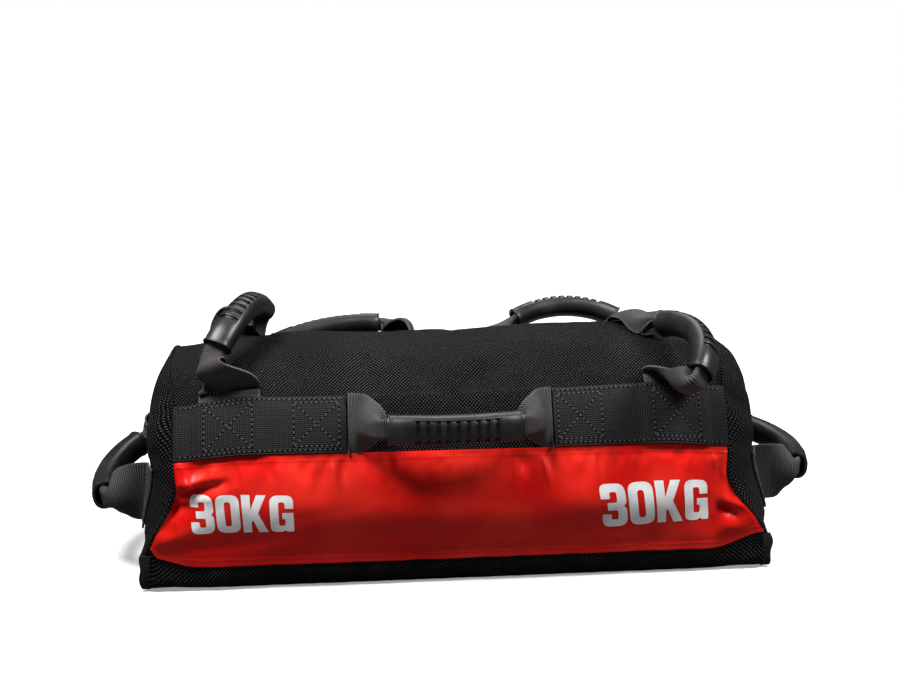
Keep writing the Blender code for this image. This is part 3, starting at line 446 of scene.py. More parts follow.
def noise(tree, vector, scale, detail=3.0):
    """A noise value."""
    node = tree.nodes.new("ShaderNodeTexNoise")
    node.inputs["Scale"].default_value = scale
    node.inputs["Detail"].default_value = detail
    tree.links.new(vector, node.inputs["Vector"])
    return node.outputs["Fac"]


def sine(tree, value, rate):
    """The sine of a value times a rate."""
    return math_node(tree, "SINE", math_node(tree, "MULTIPLY", value, rate))


def split_uv(group, source):
    """The two numbers of a group's UV input."""
    split = group.nodes.new("ShaderNodeSeparateXYZ")
    group.links.new(source.outputs["UV"], split.inputs[0])
    return split.outputs[0], split.outputs[1]


def make_canvas_group():
    """Rows of raised dots, half a dot out of step from row to row."""
    group, source, result = new_group("Canvas weave", "UV",
                                      {"Dot pitch": 0.0027, "Row pitch": 0.0019},
                                      ("Height", "Thread"))
    u, v = split_uv(group, source)
    across = math_node(group, "DIVIDE", u, source.outputs["Dot pitch"])
    along = math_node(group, "DIVIDE", v, source.outputs["Row pitch"])
    dots = math_node(group, "MULTIPLY", sine(group, across, math.tau),
                     sine(group, along, math.pi))
    height = math_node(group, "MULTIPLY_ADD", sine(group, across, math.tau * 4.0), 0.06,
                       math_node(group, "MULTIPLY_ADD", dots, 0.5, 0.5))
    group.links.new(height, result.inputs["Height"])
    group.links.new(noise(group, source.outputs["UV"], 900.0, 2.0), result.inputs["Thread"])
    return group


WARP_PITCH = 0.0021


def make_webbing_group():
    """Ribs across a strap, with finer threads along it and a worn edge."""
    group, source, result = new_group("Webbing weave", "UV",
                                      {"Rib pitch": 0.0019, "Width": WEB_WIDTH, "Cross": 0.14},
                                      ("Height", "Edge", "Thread"))
    u, v = split_uv(group, source)
    along = math_node(group, "DIVIDE", u, source.outputs["Rib pitch"])
    across = math_node(group, "DIVIDE", v, WARP_PITCH)
    stagger = math_node(group, "MULTIPLY", sine(group, across, math.pi), 0.04)
    rib = math_node(group, "ABSOLUTE",
                    sine(group, math_node(group, "ADD", along, stagger), math.pi))
    warp = math_node(group, "MULTIPLY_ADD", sine(group, across, math.tau), 0.5, -0.5)
    group.links.new(math_node(group, "MULTIPLY_ADD", warp, source.outputs["Cross"], rib),
                    result.inputs["Height"])
    middle = math_node(group, "MULTIPLY", source.outputs["Width"], 0.5)
    off = math_node(group, "ABSOLUTE", math_node(group, "SUBTRACT", v, middle))
    group.links.new(ramp(group, math_node(group, "DIVIDE", off, middle), 0.90, 1.0),
                    result.inputs["Edge"])
    group.links.new(noise(group, source.outputs["UV"], 700.0, 2.0), result.inputs["Thread"])
    return group


CANVAS_WEAVE = make_canvas_group()
WEBBING_WEAVE = make_webbing_group()
print("weave groups:", CANVAS_WEAVE.name, "and", WEBBING_WEAVE.name)

# %% [markdown]
# ## Dust and handling
# A bag that is dragged over floors is never one flat black. One more group gives two soft
# masks in object space: a large one for faded patches and a small one for lint. Each
# material takes as much of them as its surface would show.


# %% Wear group
def make_wear_group():
    """Large faded patches and fine lint."""
    group, source, result = new_group("Cloth wear", "Place", {}, ("Patches", "Lint"))
    patches = noise(group, source.outputs["Place"], 9.0, 4.0)
    lint = noise(group, source.outputs["Place"], 420.0, 3.0)
    group.links.new(ramp(group, patches, 0.38, 0.66), result.inputs["Patches"])
    group.links.new(ramp(group, lint, 0.60, 0.78), result.inputs["Lint"])
    return group


CLOTH_WEAR = make_wear_group()
print("wear group:", CLOTH_WEAR.name)


# %% Materials of cloth
def start_material(name, roughness, **sockets):
    """A Principled material with its plain values set on the shader itself."""
    material = bpy.data.materials.new(name)
    material.use_nodes = True
    tree = material.node_tree
    shader = tree.nodes["Principled BSDF"]
    shader.inputs["Roughness"].default_value = roughness
    for label, value in sockets.items():
        shader.inputs[label.replace("_", " ")].default_value = value
    place = tree.nodes.new("ShaderNodeTexCoord")
    return material, tree, shader, place


def put_group(tree, group, vector, **values):
    """Place a node group and feed its vector."""
    node = tree.nodes.new("ShaderNodeGroup")
    node.node_tree = group
    tree.links.new(vector, node.inputs[0])
    for label, value in values.items():
        node.inputs[label.replace("_", " ")].default_value = value
    return node


def put_bump(tree, shader, height, strength, distance):
    """Feed a height into the shader's normal."""
    bump = tree.nodes.new("ShaderNodeBump")
    bump.inputs["Strength"].default_value = strength
    bump.inputs["Distance"].default_value = distance
    tree.links.new(height, bump.inputs["Height"])
    tree.links.new(bump.outputs[0], shader.inputs["Normal"])


def paint(tree, shader, factor, dark, light):
    """Colour the surface from dark to light by a factor socket."""
    tree.links.new(mix_colour(tree, factor, dark, light), shader.inputs["Base Color"])


def vary_roughness(tree, shader, mask, swing, least):
    """Let a mask raise the roughness from its least value."""
    tree.links.new(math_node(tree, "MULTIPLY_ADD", mask, swing, least),
                   shader.inputs["Roughness"])


def grey(value):
    """A colour with no hue."""
    return (value, value, value)


def make_canvas(name, dark, light, dot=0.0037, row=0.0021):
    """Coarse black canvas, raised dots painted light as highlight and hollows dark as shade."""
    material, tree, shader, place = start_material(name, 0.80, Specular_IOR_Level=0.06)
    weave = put_group(tree, CANVAS_WEAVE, place.outputs["UV"], Dot_pitch=dot, Row_pitch=row)
    wear = put_group(tree, CLOTH_WEAR, place.outputs["Object"])
    faded = math_node(tree, "MULTIPLY_ADD", wear.outputs["Patches"], 0.35, 0.65)
    # Raised dots are painted lighter as highlight and hollows darker as shade, faded by wear.
    lit = math_node(tree, "MULTIPLY", ramp(tree, weave.outputs["Height"], 0.62, 1.0), faded)
    lint = math_node(tree, "MULTIPLY", wear.outputs["Lint"], 0.25)
    paint(tree, shader, math_node(tree, "ADD", lit, lint), dark, light)
    put_bump(tree, shader, math_node(tree, "MULTIPLY_ADD", weave.outputs["Thread"], 0.18,
                                     weave.outputs["Height"]), 1.0, 0.0014)
    return material


def make_webbing(name, dark, light, rib=0.0016, width=WEB_WIDTH, cross=0.14):
    """Ribbed webbing with paled edges; ribs painted light as highlight, hollows dark as shade."""
    material, tree, shader, place = start_material(name, 0.74, Specular_IOR_Level=0.22)
    weave = put_group(tree, WEBBING_WEAVE, place.outputs["UV"], Rib_pitch=rib, Width=width,
                      Cross=cross)
    wear = put_group(tree, CLOTH_WEAR, place.outputs["Object"])
    faded = math_node(tree, "MULTIPLY_ADD", wear.outputs["Patches"], 0.4, 0.6)
    # Ribs are painted lighter as highlight and the hollows between them darker as shade.
    lit = math_node(tree, "MULTIPLY", ramp(tree, weave.outputs["Height"], 0.25, 1.0), faded)
    worn = math_node(tree, "MULTIPLY", weave.outputs["Edge"], 0.35)
    paint(tree, shader, math_node(tree, "ADD", lit, worn), dark, light)
    put_bump(tree, shader, math_node(tree, "MULTIPLY_ADD", weave.outputs["Thread"], 0.15,
                                     weave.outputs["Height"]), 0.8, 0.0005)
    return material


canvas = make_canvas("Black canvas", grey(0.0005), (0.080, 0.079, 0.078))
webbing = make_webbing("Black webbing", (0.019, 0.0176, 0.0172), (0.092, 0.086, 0.083))
band_webbing = make_webbing("Band webbing", grey(0.0022), (0.025, 0.0246, 0.0242), 0.0021,
                            cross=0.6)
binding_tape = make_webbing("Binding tape", grey(0.006), grey(0.024), 0.0012, 0.022)
print("cloth materials:", canvas.name, webbing.name, band_webbing.name, binding_tape.name)


# %% [markdown]
# ## Coated cloth, rubber, thread and print
# The front panel is cloth with a smooth plastic coat: a strong red, a broad satin shine and
# only a hint of the threads below. The grips are moulded rubber with a fine grain, painted
# near-black in their slots as painted shade. The print is a silver-grey ink that lies on the coat.

# %% Materials that aren't woven
def make_coated():
    """Red coated cloth."""
    material, tree, shader, place = start_material("Red coated cloth", 0.36,
                                                   Specular_IOR_Level=0.16)
    soft = noise(tree, place.outputs["Object"], 14.0, 4.0)
    paint(tree, shader, ramp(tree, soft, 0.35, 0.7), (0.58, 0.0050, 0.0030),
          (0.70, 0.0200, 0.0110))
    vary_roughness(tree, shader, soft, 0.16, 0.28)
    weave = put_group(tree, CANVAS_WEAVE, place.outputs["UV"], Dot_pitch=0.0016,
                      Row_pitch=0.0012)
    grain = noise(tree, place.outputs["Object"], 260.0, 3.0)
    put_bump(tree, shader, math_node(tree, "MULTIPLY_ADD", weave.outputs["Height"], 0.35, grain),
             0.16, 0.0004)
    return material


def make_rubber():
    """Moulded black rubber with a fine grain, and painted shade in the grip's slots."""
    material, tree, shader, place = start_material("Black rubber", 0.45,
                                                   Specular_IOR_Level=0.42)
    grain = noise(tree, place.outputs["Object"], 1400.0, 2.0)
    hands = noise(tree, place.outputs["Object"], 32.0, 4.0)
    skin_tone = mix_colour(tree, ramp(tree, hands, 0.4, 0.7), (0.0070, 0.0070, 0.0072),
                           (0.0170, 0.0170, 0.0175))
    # The marked slot faces are painted near-black as the shade inside the slots.
    slot_shade = tree.nodes.new("ShaderNodeAttribute")
    slot_shade.attribute_name = "slot_shade"
    paint(tree, shader, slot_shade.outputs["Fac"], skin_tone, grey(0.0008))
    vary_roughness(tree, shader, hands, 0.22, 0.26)
    put_bump(tree, shader, grain, 0.25, 0.0002)
    return material


def make_plain(name, dark, light, roughness, scale, bump=0.2, **sockets):
    """A plain finish broken up by a little noise."""
    material, tree, shader, place = start_material(name, roughness, **sockets)
    soft = noise(tree, place.outputs["Object"], scale, 3.0)
    paint(tree, shader, ramp(tree, soft, 0.35, 0.65), dark, light)
    vary_roughness(tree, shader, soft, 0.2, roughness - 0.1)
    put_bump(tree, shader, soft, bump, 0.0002)
    return material


coated = make_coated()
rubber = make_rubber()
black_thread = make_plain("Black thread", grey(0.030), (0.075, 0.073, 0.072), 0.7, 900)
# Near-black beads with no shine: painted shade in the needle holes where the thread dips in.
needle_hole_shade = make_plain("Needle hole shade", grey(0.0002), grey(0.0006), 0.95, 900,
                         Specular_IOR_Level=0.0)
# The upper hem's thread is painted dark as the shade in its stitch holes.
hem_shade_thread = make_plain("Red thread with painted hole shade", (0.08, 0.002, 0.002), (0.16, 0.004, 0.004), 0.7, 900)
pale_thread = make_plain("Pale red thread", (0.55, 0.040, 0.025), (0.75, 0.090, 0.060), 0.6, 900)
ink = make_plain("Silver grey ink", grey(0.66), grey(0.80), 0.45, 60, 0.1)
metal = make_plain("Black metal", (0.030, 0.030, 0.032), (0.070, 0.070, 0.075), 0.35, 300, 0.1,
                   Metallic=1.0)
teeth = make_plain("Zip teeth", (0.010, 0.010, 0.011), (0.026, 0.026, 0.028), 0.35, 500)
zip_cloth = make_webbing("Zip tape", grey(0.007), grey(0.026), 0.0012, 0.011)
sand_grain = make_plain("Dry sand", (0.42, 0.30, 0.17), (0.68, 0.54, 0.35), 0.95, 1600, 0.9)
liner_cloth = make_canvas("Liner cloth", (0.016, 0.016, 0.017), (0.040, 0.040, 0.043), 0.0010,
                          0.0009)
hook_tape = make_plain("Hook tape", grey(0.010), grey(0.040), 0.9, 1200, 0.8)
print("materials:", len(bpy.data.materials))

# %% [markdown]
# ## Let the cloth settle
# Real cloth never lies as smooth as a formula. The whole bag is built once as a closed skin,
# held still where it is sewn flat or stands on the ground, cut a little too large, and blown
# up by the pressure of its filling. Blender's cloth solver finds the soft bulges between
# the seams, and no point may go further than 3 mm, so that the grips stay clear when they
# swing. The distance that each point moved is kept as a table, and every piece of cloth that
# is laid on the bag later reads it.

# %% Settle the bag's skin
SIM_ROWS = 144
SIM_COLUMNS = 96
SIM_RINGS = 11
SIM_INNER_REACH = 0.12
SIM_FRAMES = 20
MOST_MOVE = 0.0030
CLOTH_SETTINGS = {
    "quality": 6, "mass": 0.25, "tension_stiffness": 25.0, "compression_stiffness": 25.0,
    "bending_stiffness": 2.0, "use_pressure": True, "uniform_pressure_force": 4.0,
    "shrink_min": -0.025, "vertex_group_mass": "held"}


def held(share, arc, near=0.010):
    """1 where the skin is sewn flat or rests on the ground, 0 where it is free."""
    place = skin(share, arc)
    x = np.abs(place[..., 0])
    bands = np.maximum(smooth(BAND_LOW - near, BAND_LOW, arc)
                       * smooth(BAND_HIGH + near, BAND_HIGH, arc),
                       smooth(REAR_BAND_HIGH - near, REAR_BAND_HIGH, arc)
                       * smooth(REAR_BAND_LOW + near, REAR_BAND_LOW, arc))
    zip_zone = (smooth(ZIP_ARC - 0.026, ZIP_ARC - 0.016, arc)
                * smooth(ZIP_ARC + 0.026, ZIP_ARC + 0.016, arc) * smooth(0.215, 0.2, x))
    tab = smooth(0.042, 0.032, np.abs(x - 0.211))
    tab_front = tab * smooth(TAB_HIGH + 0.012, TAB_HIGH, arc) * (arc > BAND_LOW)
    tab_rear = tab * smooth(REAR_ROOT - 0.012, REAR_ROOT, arc) * (arc < REAR_BAND_LOW)
    ground = smooth(0.006, 0.001, place[..., 2])
    return np.clip(np.maximum.reduce([bands, zip_zone, tab_front, tab_rear, ground]), 0.0, 1.0)


def skin_faces():
    """The faces of the closed skin: the barrel, then the rings and the middle of both ends."""
    width = SIM_COLUMNS + 1
    faces = []
    for row in range(SIM_ROWS):
        after = (row + 1) % SIM_ROWS
        for column in range(SIM_COLUMNS):
            faces.append((row * width + column, row * width + column + 1,
                          after * width + column + 1, after * width + column))
    for cap, column, way in ((0, 0, 1), (1, SIM_COLUMNS, -1)):
        base = SIM_ROWS * (width + cap * SIM_RINGS)
        rings = [[row * width + column for row in range(SIM_ROWS)]]
        rings += [[base + ring * SIM_ROWS + row for row in range(SIM_ROWS)]
                  for ring in range(SIM_RINGS)]
        for outer, inner in zip(rings, rings[1:]):
            for row in range(SIM_ROWS):
                after = (row + 1) % SIM_ROWS
                faces.append((outer[row], outer[after], inner[after], inner[row])[::way])
        faces.append(rings[-1][::way])
    return faces


def settle():
    """Run the cloth solver and return how far each point of the skin moved."""
    arcs = np.arange(SIM_ROWS) * PERIMETER / SIM_ROWS
    shares = np.linspace(-1.0, 1.0, SIM_COLUMNS + 1)
    grid_arc, grid_share = np.meshgrid(arcs, shares, indexing="ij")
    barrel = skin(grid_share, grid_arc).reshape(-1, 3)
    reaches = np.linspace(1.0, SIM_INNER_REACH, SIM_RINGS + 1)[1:]
    caps = [end_face(side, arcs[None, :], reaches[:, None]).reshape(-1, 3) for side in (-1, 1)]
    points = np.concatenate([barrel, *caps])
    cap_middle = np.repeat(smooth(0.45, 0.25, reaches), SIM_ROWS)
    pins = np.concatenate([held(grid_share, grid_arc).ravel(),
                           *(np.maximum(cap_middle, end_held(cap[:, 1], cap[:, 2]))
                             for cap in caps)])
    form = new_piece("settling_skin", points, skin_faces())
    group = form.vertex_groups.new(name="held")
    for weight in (0.25, 0.5, 0.75, 1.0):
        chosen = np.nonzero(np.abs(pins - weight) <= 0.125)[0]
        group.add(chosen.tolist(), weight, "REPLACE")
    cloth = form.modifiers.new("Cloth", "CLOTH")
    for name, value in CLOTH_SETTINGS.items():
        setattr(cloth.settings, name, value)
    cloth.settings.effector_weights.gravity = 0.0
    cloth.collision_settings.use_collision = False
    for step in range(1, SIM_FRAMES + 1):
        bpy.context.scene.frame_set(step)
    moved = points_of(form.evaluated_get(bpy.context.evaluated_depsgraph_get())) - points
    far = np.linalg.norm(moved, axis=1, keepdims=True)
    moved *= np.minimum(1.0, MOST_MOVE / np.maximum(far, 1e-9))
    bpy.context.scene.frame_set(1)
    bpy.data.objects.remove(form)
    ends = moved[len(barrel):].reshape(2, SIM_RINGS, SIM_ROWS, 3)
    return moved[:len(barrel)].reshape(SIM_ROWS, SIM_COLUMNS + 1, 3), ends, float(far.max())


barrel_move, end_move, furthest = settle()
print("the solver moved the skin by up to", round(furthest * 1000, 1), "mm")


# %% Read the settled table
def cubic(table, row, column):
    """Read a table smoothly between its rows, which wrap round, and its columns."""
    result = 0.0
    row_low = np.floor(row).astype(int)
    column_low = np.floor(column).astype(int)
    for row_step in (-1, 0, 1, 2):
        row_weight = spline_weight(row - row_low - row_step)
        rows = np.mod(row_low + row_step, table.shape[0])
        for column_step in (-1, 0, 1, 2):
            weight = row_weight * spline_weight(column - column_low - column_step)
            columns = np.clip(column_low + column_step, 0, table.shape[1] - 1)
            result = result + weight[..., None] * table[rows, columns]
    return result


def spline_weight(distance):
    """The weight of a neighbour at a distance in cells, smooth over four cells."""
    far = np.abs(distance)
    near_part = 2.0 / 3.0 - far ** 2 + far ** 3 / 2.0
    far_part = np.maximum(2.0 - far, 0.0) ** 3 / 6.0
    return np.where(far < 1.0, near_part, far_part)


def settled_by(share, arc):
    """How far the cloth solver moved the skin here."""
    row = np.mod(arc, PERIMETER) / PERIMETER * SIM_ROWS
    column = np.clip((share + 1.0) / 2.0, 0.0, 1.0) * SIM_COLUMNS
    return cubic(barrel_move, row, column)


print("largest move on the barrel:", np.round(np.abs(barrel_move).max() * 1000, 2), "mm")

# %% [markdown]
# ## Creases one by one
# The solver gives soft bulges, but the photo also shows creases that come from carrying and
# dropping the bag: puckers under the sewn bands, a star of creases at the left of the red
# panel, a deep fold at its right and a shallow V on top. Each is one ridge or valley between
# two points of the cloth, with a width and a height. A short table of them reads like a list
# of pencil strokes, and is easy to correct against the photo.

# %% Ridges and valleys
STROKES = [
    # x and arc of one end, x and arc of the other, width, height
    (-0.258, 0.236, -0.222, 0.240, 0.006, 0.0046),
    (-0.252, 0.227, -0.216, 0.235, 0.0050, -0.0070),
    (-0.250, 0.236, -0.256, 0.256, 0.006, 0.0022),
    (-0.250, 0.230, -0.262, 0.200, 0.006, 0.0052),
    (-0.262, 0.213, -0.236, 0.217, 0.0070, -0.0066),
    (-0.236, 0.218, -0.205, 0.230, 0.008, 0.0030),
    (-0.284, 0.176, -0.236, 0.196, 0.012, 0.0036),
    (-0.272, 0.168, -0.180, 0.176, 0.010, -0.0026),
    (0.257, 0.197, 0.268, 0.189, 0.0052, -0.0088),
    (0.259, 0.204, 0.256, 0.246, 0.0062, 0.0046),
    (0.264, 0.176, 0.298, 0.172, 0.011, 0.0040),
    (0.262, 0.204, 0.290, 0.192, 0.0062, 0.0046),
    (-0.288, 0.138, -0.225, 0.139, 0.010, 0.0050),
    (0.296, 0.141, 0.262, 0.137, 0.010, 0.0044),
    (0.246, 0.180, 0.240, 0.160, 0.010, -0.0020),
    (0.236, 0.196, 0.246, 0.214, 0.010, -0.0018),
    (-0.150, 0.200, -0.070, 0.216, 0.018, -0.0034),
    (0.020, 0.214, 0.110, 0.200, 0.020, -0.0032),
    (-0.060, 0.226, 0.020, 0.234, 0.020, 0.0018),
    (-0.006, 0.316, -0.052, 0.430, 0.014, -0.0030),
    (-0.006, 0.316, 0.114, 0.400, 0.014, -0.0030),
    (-0.006, 0.350, 0.030, 0.420, 0.050, -0.0035),
    (0.150, 0.340, 0.250, 0.420, 0.020, -0.0022),
    (-0.262, 0.330, -0.235, 0.352, 0.010, -0.0036),
    (-0.262, 0.345, -0.240, 0.400, 0.012, 0.0022),
    (0.250, 0.330, 0.262, 0.420, 0.012, -0.0030),
    (0.232, 0.345, 0.240, 0.440, 0.012, 0.0014),
]


def stroke(x, arc, line):
    """One ridge or valley, as a height on the cloth, which fades towards its second end."""
    x_start, arc_start, x_stop, arc_stop, width, height = line
    run_x, run_arc = x_stop - x_start, arc_stop - arc_start
    length = math.hypot(run_x, run_arc)
    along = ((x - x_start) * run_x + (arc - arc_start) * run_arc) / length ** 2
    nearest = np.clip(along, 0.0, 1.0)
    off = np.hypot(x - x_start - nearest * run_x, arc - arc_start - nearest * run_arc)
    end = 1.0 - 0.55 * smooth(0.2, 1.0, nearest)
    return height * end * np.exp(-(off / width) ** 1.6)


def puckers(x, arc, seam, way, count, depth, reach, seed):
    """Short folds that run square to a seam and fade away from it."""
    off = (arc - seam) * way
    fade = smooth(reach, 0.0, off) * smooth(0.003, 0.016, off)
    height = 0.0
    for index in range(count):
        place = -0.26 + 0.52 * (index + 0.5 + 0.42 * math.sin(seed + index * 12.9898)) / count
        strong = 0.55 + 0.45 * math.sin(seed * 3.1 + index * 4.137)
        lean = 0.22 * math.sin(seed * 1.7 + index * 2.71)
        width = 0.0042 + 0.0016 * math.sin(seed + index * 7.7)
        height = height + strong * np.exp(-((x - place - lean * off) / width) ** 2)
    return depth * height * fade


def front_seam(share):
    """The arc of the seam below the coated panel, which climbs towards both corners."""
    return (FRONT_SEAM + 0.011 * smooth(-0.84, -1.0, share) + 0.015 * smooth(0.80, 1.0, share)
            + 0.009 * smooth(-0.95, -1.0, share) ** 2)


def calm(share, arc):
    """How much of a bulge or crease is left beside the straight seam and under the top grips."""
    beside = 1.0 - 0.75 * np.exp(-((arc - front_seam(share)) / 0.013) ** 2)
    under = (smooth(0.56, 0.68, np.abs(share)) * smooth(BAND_HIGH, BAND_HIGH + 0.015, arc)
             * smooth(REAR_BAND_HIGH, REAR_BAND_HIGH - 0.015, arc))
    return beside * (1.0 - 0.8 * under)


print("creases drawn:", len(STROKES))


# %% The finished skin
PUCKERS = [
    # arc of the seam, which way from it, how many, height, reach, seed
    (BAND_LOW - 0.001, -1, 26, 0.0024, 0.044, 1.3),
    (BAND_LOW - 0.001, -1, 19, -0.0030, 0.036, 4.1),
    (FRONT_SEAM + 0.004, 1, 22, 0.0013, 0.022, 2.2),
    (BAND_HIGH + 0.002, 1, 26, 0.0010, 0.030, 5.2),
    (REAR_BAND_HIGH - 0.002, -1, 26, 0.0010, 0.030, 7.2),
    (REAR_BAND_LOW + 0.002, 1, 22, 0.0010, 0.024, 9.2),
]
WAVINESS = 0.0010
BELLY_RISE = 0.0090
BELLY_ARC = 0.206
BELLY_WIDTH = 0.026


def creases(share, arc):
    """The height of every listed crease at a place on the bag's skin."""
    arc = np.mod(arc, PERIMETER)
    x = skin(share, arc)[..., 0]
    height = sum(stroke(x, arc, line) for line in STROKES)
    for row in PUCKERS:
        height = height + puckers(x, arc, *row)
    height = height + WAVINESS * np.sin(x * 41.0 + 3.0 * np.sin(arc * 19.0)) * np.sin(
        arc * 33.0 + 2.0 * np.sin(x * 17.0))
    height = height + (BELLY_RISE * np.exp(-((arc - BELLY_ARC) / BELLY_WIDTH) ** 2)
                       * smooth(0.27, 0.12, np.abs(x)))
    free = (1.0 - held(share, arc, 0.005)) * smooth(1.0, 0.985, np.abs(share))
    return height * free * calm(share, arc)


def bag(share, arc, out=0.0):
    """A point of the finished skin, standing off it by out."""
    share, arc = np.broadcast_arrays(np.asarray(share, float), np.asarray(arc, float))
    lift = creases(share, arc)
    moved = settled_by(share, arc) * calm(share, np.mod(arc, PERIMETER))[..., None]
    place = skin(share, arc) + moved + skin_out(share, arc) * (lift + out)[..., None]
    place[..., 2] = np.maximum(place[..., 2], 0.0)
    return place


print("rows of puckers:", len(PUCKERS))


# %% [markdown]
# ## The sewn panels
# Each panel is its own piece of cloth, cut from a grid, laid on the settled skin and given its
# thickness inwards. The coated panel's cells are 1.4 mm, which holds its finest pucker, and
# the canvas has cells of about 3 mm. The weave itself is far finer and stays in the material.

# %% Lay the canvas and the coated panel
HEM = 0.0046


def level(arc):
    """A seam at the same arc all along the bag."""
    return lambda share: arc + 0.0 * share


def hemmed(off_low, off_high):
    """The coated panel's folded hems: a raised edge that dips at its stitches."""
    off = np.minimum(off_low, off_high)
    return 0.0009 * smooth(0.0080, 0.0058, off) - 0.0006 * np.exp(-((off - HEM) / 0.0013) ** 2)


def plain(off_low, off_high):
    """Cloth without hems."""
    return 0.0 * off_low


def panel(name, seams, material, thickness, cell, edge_lift=plain):
    """One panel from end to end of the bag, between two seams."""
    length = 2.0 * BAND_HALF_LENGTH
    width = float(seams[1](0.0) - seams[0](0.0))
    cells = (round(length / cell), round(width / cell))

    def place(u, v):
        share = u * 2.0 - 1.0
        low, high = (seam(share) for seam in seams)
        arc = low + GAP / 2 + (high - low - GAP) * v
        return bag(share, arc, edge_lift(arc - low, high - arc))

    piece = cloth_grid(name + "_cloth", cells, place, (length * 1.1, width), thickness)
    finish_piece(piece, material, "bag", (name,))
    return piece


panel("top_panel", (level(BAND_LOW), level(REAR_BAND_LOW)), canvas,
      CANVAS_THICKNESS, 0.0026)
panel("front_panel", (front_seam, level(BAND_LOW)), coated,
      COATED_THICKNESS, 0.0014, hemmed)
panel("bottom_panel", (level(-REAR_SEAM_RISE), front_seam), canvas,
      CANVAS_THICKNESS, 0.0034)
print("panels laid:", len(made))

# %% [markdown]
# ## The rear panel and its slot
# The filler sacks go in through a zip at the back. The panel is a grid whose rows and columns
# fall exactly on the edges of the slot, so the slot's cells can simply be selected and
# deleted, which leaves a clean opening for the tapes.

# %% Lay the rear panel
SLOT_HALF_LENGTH = 0.190
SLOT_HALF_WIDTH = 0.013


def make_rear_panel():
    """The canvas below the rear band, open where the zip is."""
    ends = [float(share_at(x, ZIP_ARC)) for x in (-SLOT_HALF_LENGTH, SLOT_HALF_LENGTH)]
    share_knots = [-1.0, *ends, 1.0]
    arc_knots = [REAR_BAND_LOW + GAP, ZIP_ARC - SLOT_HALF_WIDTH, ZIP_ARC + SLOT_HALF_WIDTH,
                 REAR_SEAM - GAP]
    columns, rows = (26, 124, 26), (16, 8, 16)
    u_knots = np.cumsum([0, *columns]) / sum(columns)
    v_knots = np.cumsum([0, *rows]) / sum(rows)

    def in_slot(at, _):
        """The cells between the slot's edges."""
        return u_knots[1] < at.x < u_knots[2] and v_knots[1] < at.y < v_knots[2]

    piece = cloth_grid("rear_panel_cloth", (sum(columns), sum(rows)),
                       lambda u, v: np.stack([u, v, 0.0 * u], -1), (0.58, REAR_PANEL_WIDTH))
    select_faces(piece, in_slot)
    bpy.ops.mesh.delete(type="FACE")
    bpy.ops.object.mode_set(mode="OBJECT")
    flat = points_of(piece)
    share = np.interp(flat[:, 0], u_knots, share_knots)
    arc = np.interp(flat[:, 1], v_knots, arc_knots)
    move_points(piece, bag(share, arc))
    apply_modifier(piece, "SOLIDIFY", thickness=CANVAS_THICKNESS, offset=-1.0)
    finish_piece(piece, canvas, "bag", ("rear_panel",))
    return piece


print("rear panel:", len(make_rear_panel().data.polygons), "faces")

# %% [markdown]
# ## The end panels
# An end is one piece of canvas that bulges. Its grid is laid in rings: one side of the grid is
# the seam all the way round and the other shrinks to the middle, where the points are merged.
# Its weave reads a UV map set straight from depth and height, so it doesn't swirl.

# %% Lay the end panels
END_STROKES = {
    # y and z of one end, y and z of the other, width, height
    -1: [(-0.095, 0.162, -0.102, 0.120, 0.022, 0.0090),
         (-0.118, 0.176, -0.098, 0.160, 0.008, -0.0055),
         (-0.122, 0.150, -0.096, 0.120, 0.008, 0.0030),
         (-0.126, 0.118, -0.100, 0.128, 0.006, -0.0030),
         (-0.128, 0.060, -0.086, 0.040, 0.010, -0.0040),
         (-0.124, 0.030, -0.070, 0.022, 0.010, 0.0034),
         (-0.100, 0.195, -0.070, 0.150, 0.012, -0.0025),
         (0.110, 0.150, 0.080, 0.170, 0.010, -0.0035),
         (0.120, 0.050, 0.070, 0.030, 0.012, -0.0035),
         (0.000, 0.215, 0.010, 0.170, 0.014, -0.0025),
         (0.050, 0.205, 0.040, 0.170, 0.010, 0.0020),
         (0.000, 0.010, 0.000, 0.050, 0.016, -0.0025),
         (-0.040, 0.015, -0.030, 0.045, 0.010, 0.0020)],
    1: [(-0.110, 0.172, -0.085, 0.150, 0.009, -0.0060),
        (-0.118, 0.140, -0.090, 0.130, 0.007, 0.0034),
        (-0.122, 0.124, -0.096, 0.112, 0.007, -0.0034),
        (-0.080, 0.200, -0.060, 0.160, 0.010, -0.0040),
        (-0.040, 0.212, -0.030, 0.170, 0.009, 0.0024),
        (-0.122, 0.050, -0.090, 0.030, 0.012, -0.0034),
        (0.020, 0.214, 0.020, 0.165, 0.012, -0.0034),
        (0.080, 0.190, 0.060, 0.150, 0.010, 0.0024),
        (0.118, 0.130, 0.086, 0.140, 0.009, -0.0034),
        (0.118, 0.040, 0.080, 0.030, 0.012, 0.0026),
        (0.010, 0.012, 0.010, 0.050, 0.016, -0.0028),
        (-0.050, 0.012, -0.040, 0.046, 0.010, 0.0022)],
}
END_SETTLED = 0.4


def end_skin(side, arc, reach):
    """A point of the finished end panel, which keeps only a share of the solver's bulge."""
    place = end_face(side, arc, reach, CANVAS_THICKNESS)
    cap, edge = (0, 0) if side < 0 else (1, -1)
    table = np.concatenate([barrel_move[:, edge][:, None], end_move[cap].transpose(1, 0, 2)], 1)
    row = np.mod(arc, PERIMETER) / PERIMETER * SIM_ROWS
    column = np.clip((1.0 - reach) / (1.0 - SIM_INNER_REACH), 0.0, 1.0) * SIM_RINGS
    depth, height = place[..., 1], place[..., 2]
    unsewn = 1.0 - end_held(depth, height)
    lift = sum(stroke(depth, height, line) for line in END_STROKES[side])
    lift = lift + WAVINESS * np.sin(depth * 95.0 + 2.0 * np.sin(height * 50.0)) * np.sin(
        height * 80.0 + 1.5 * np.sin(depth * 60.0))
    rim = calm(float(side), np.mod(arc, PERIMETER))
    kept = END_SETTLED + (rim - END_SETTLED) * smooth(0.85, 1.0, reach)
    place = place + cubic(table, row, column) * (unsewn * kept)[..., None]
    place[..., 0] += side * lift * unsewn * smooth(1.0, 0.93, reach)
    return place


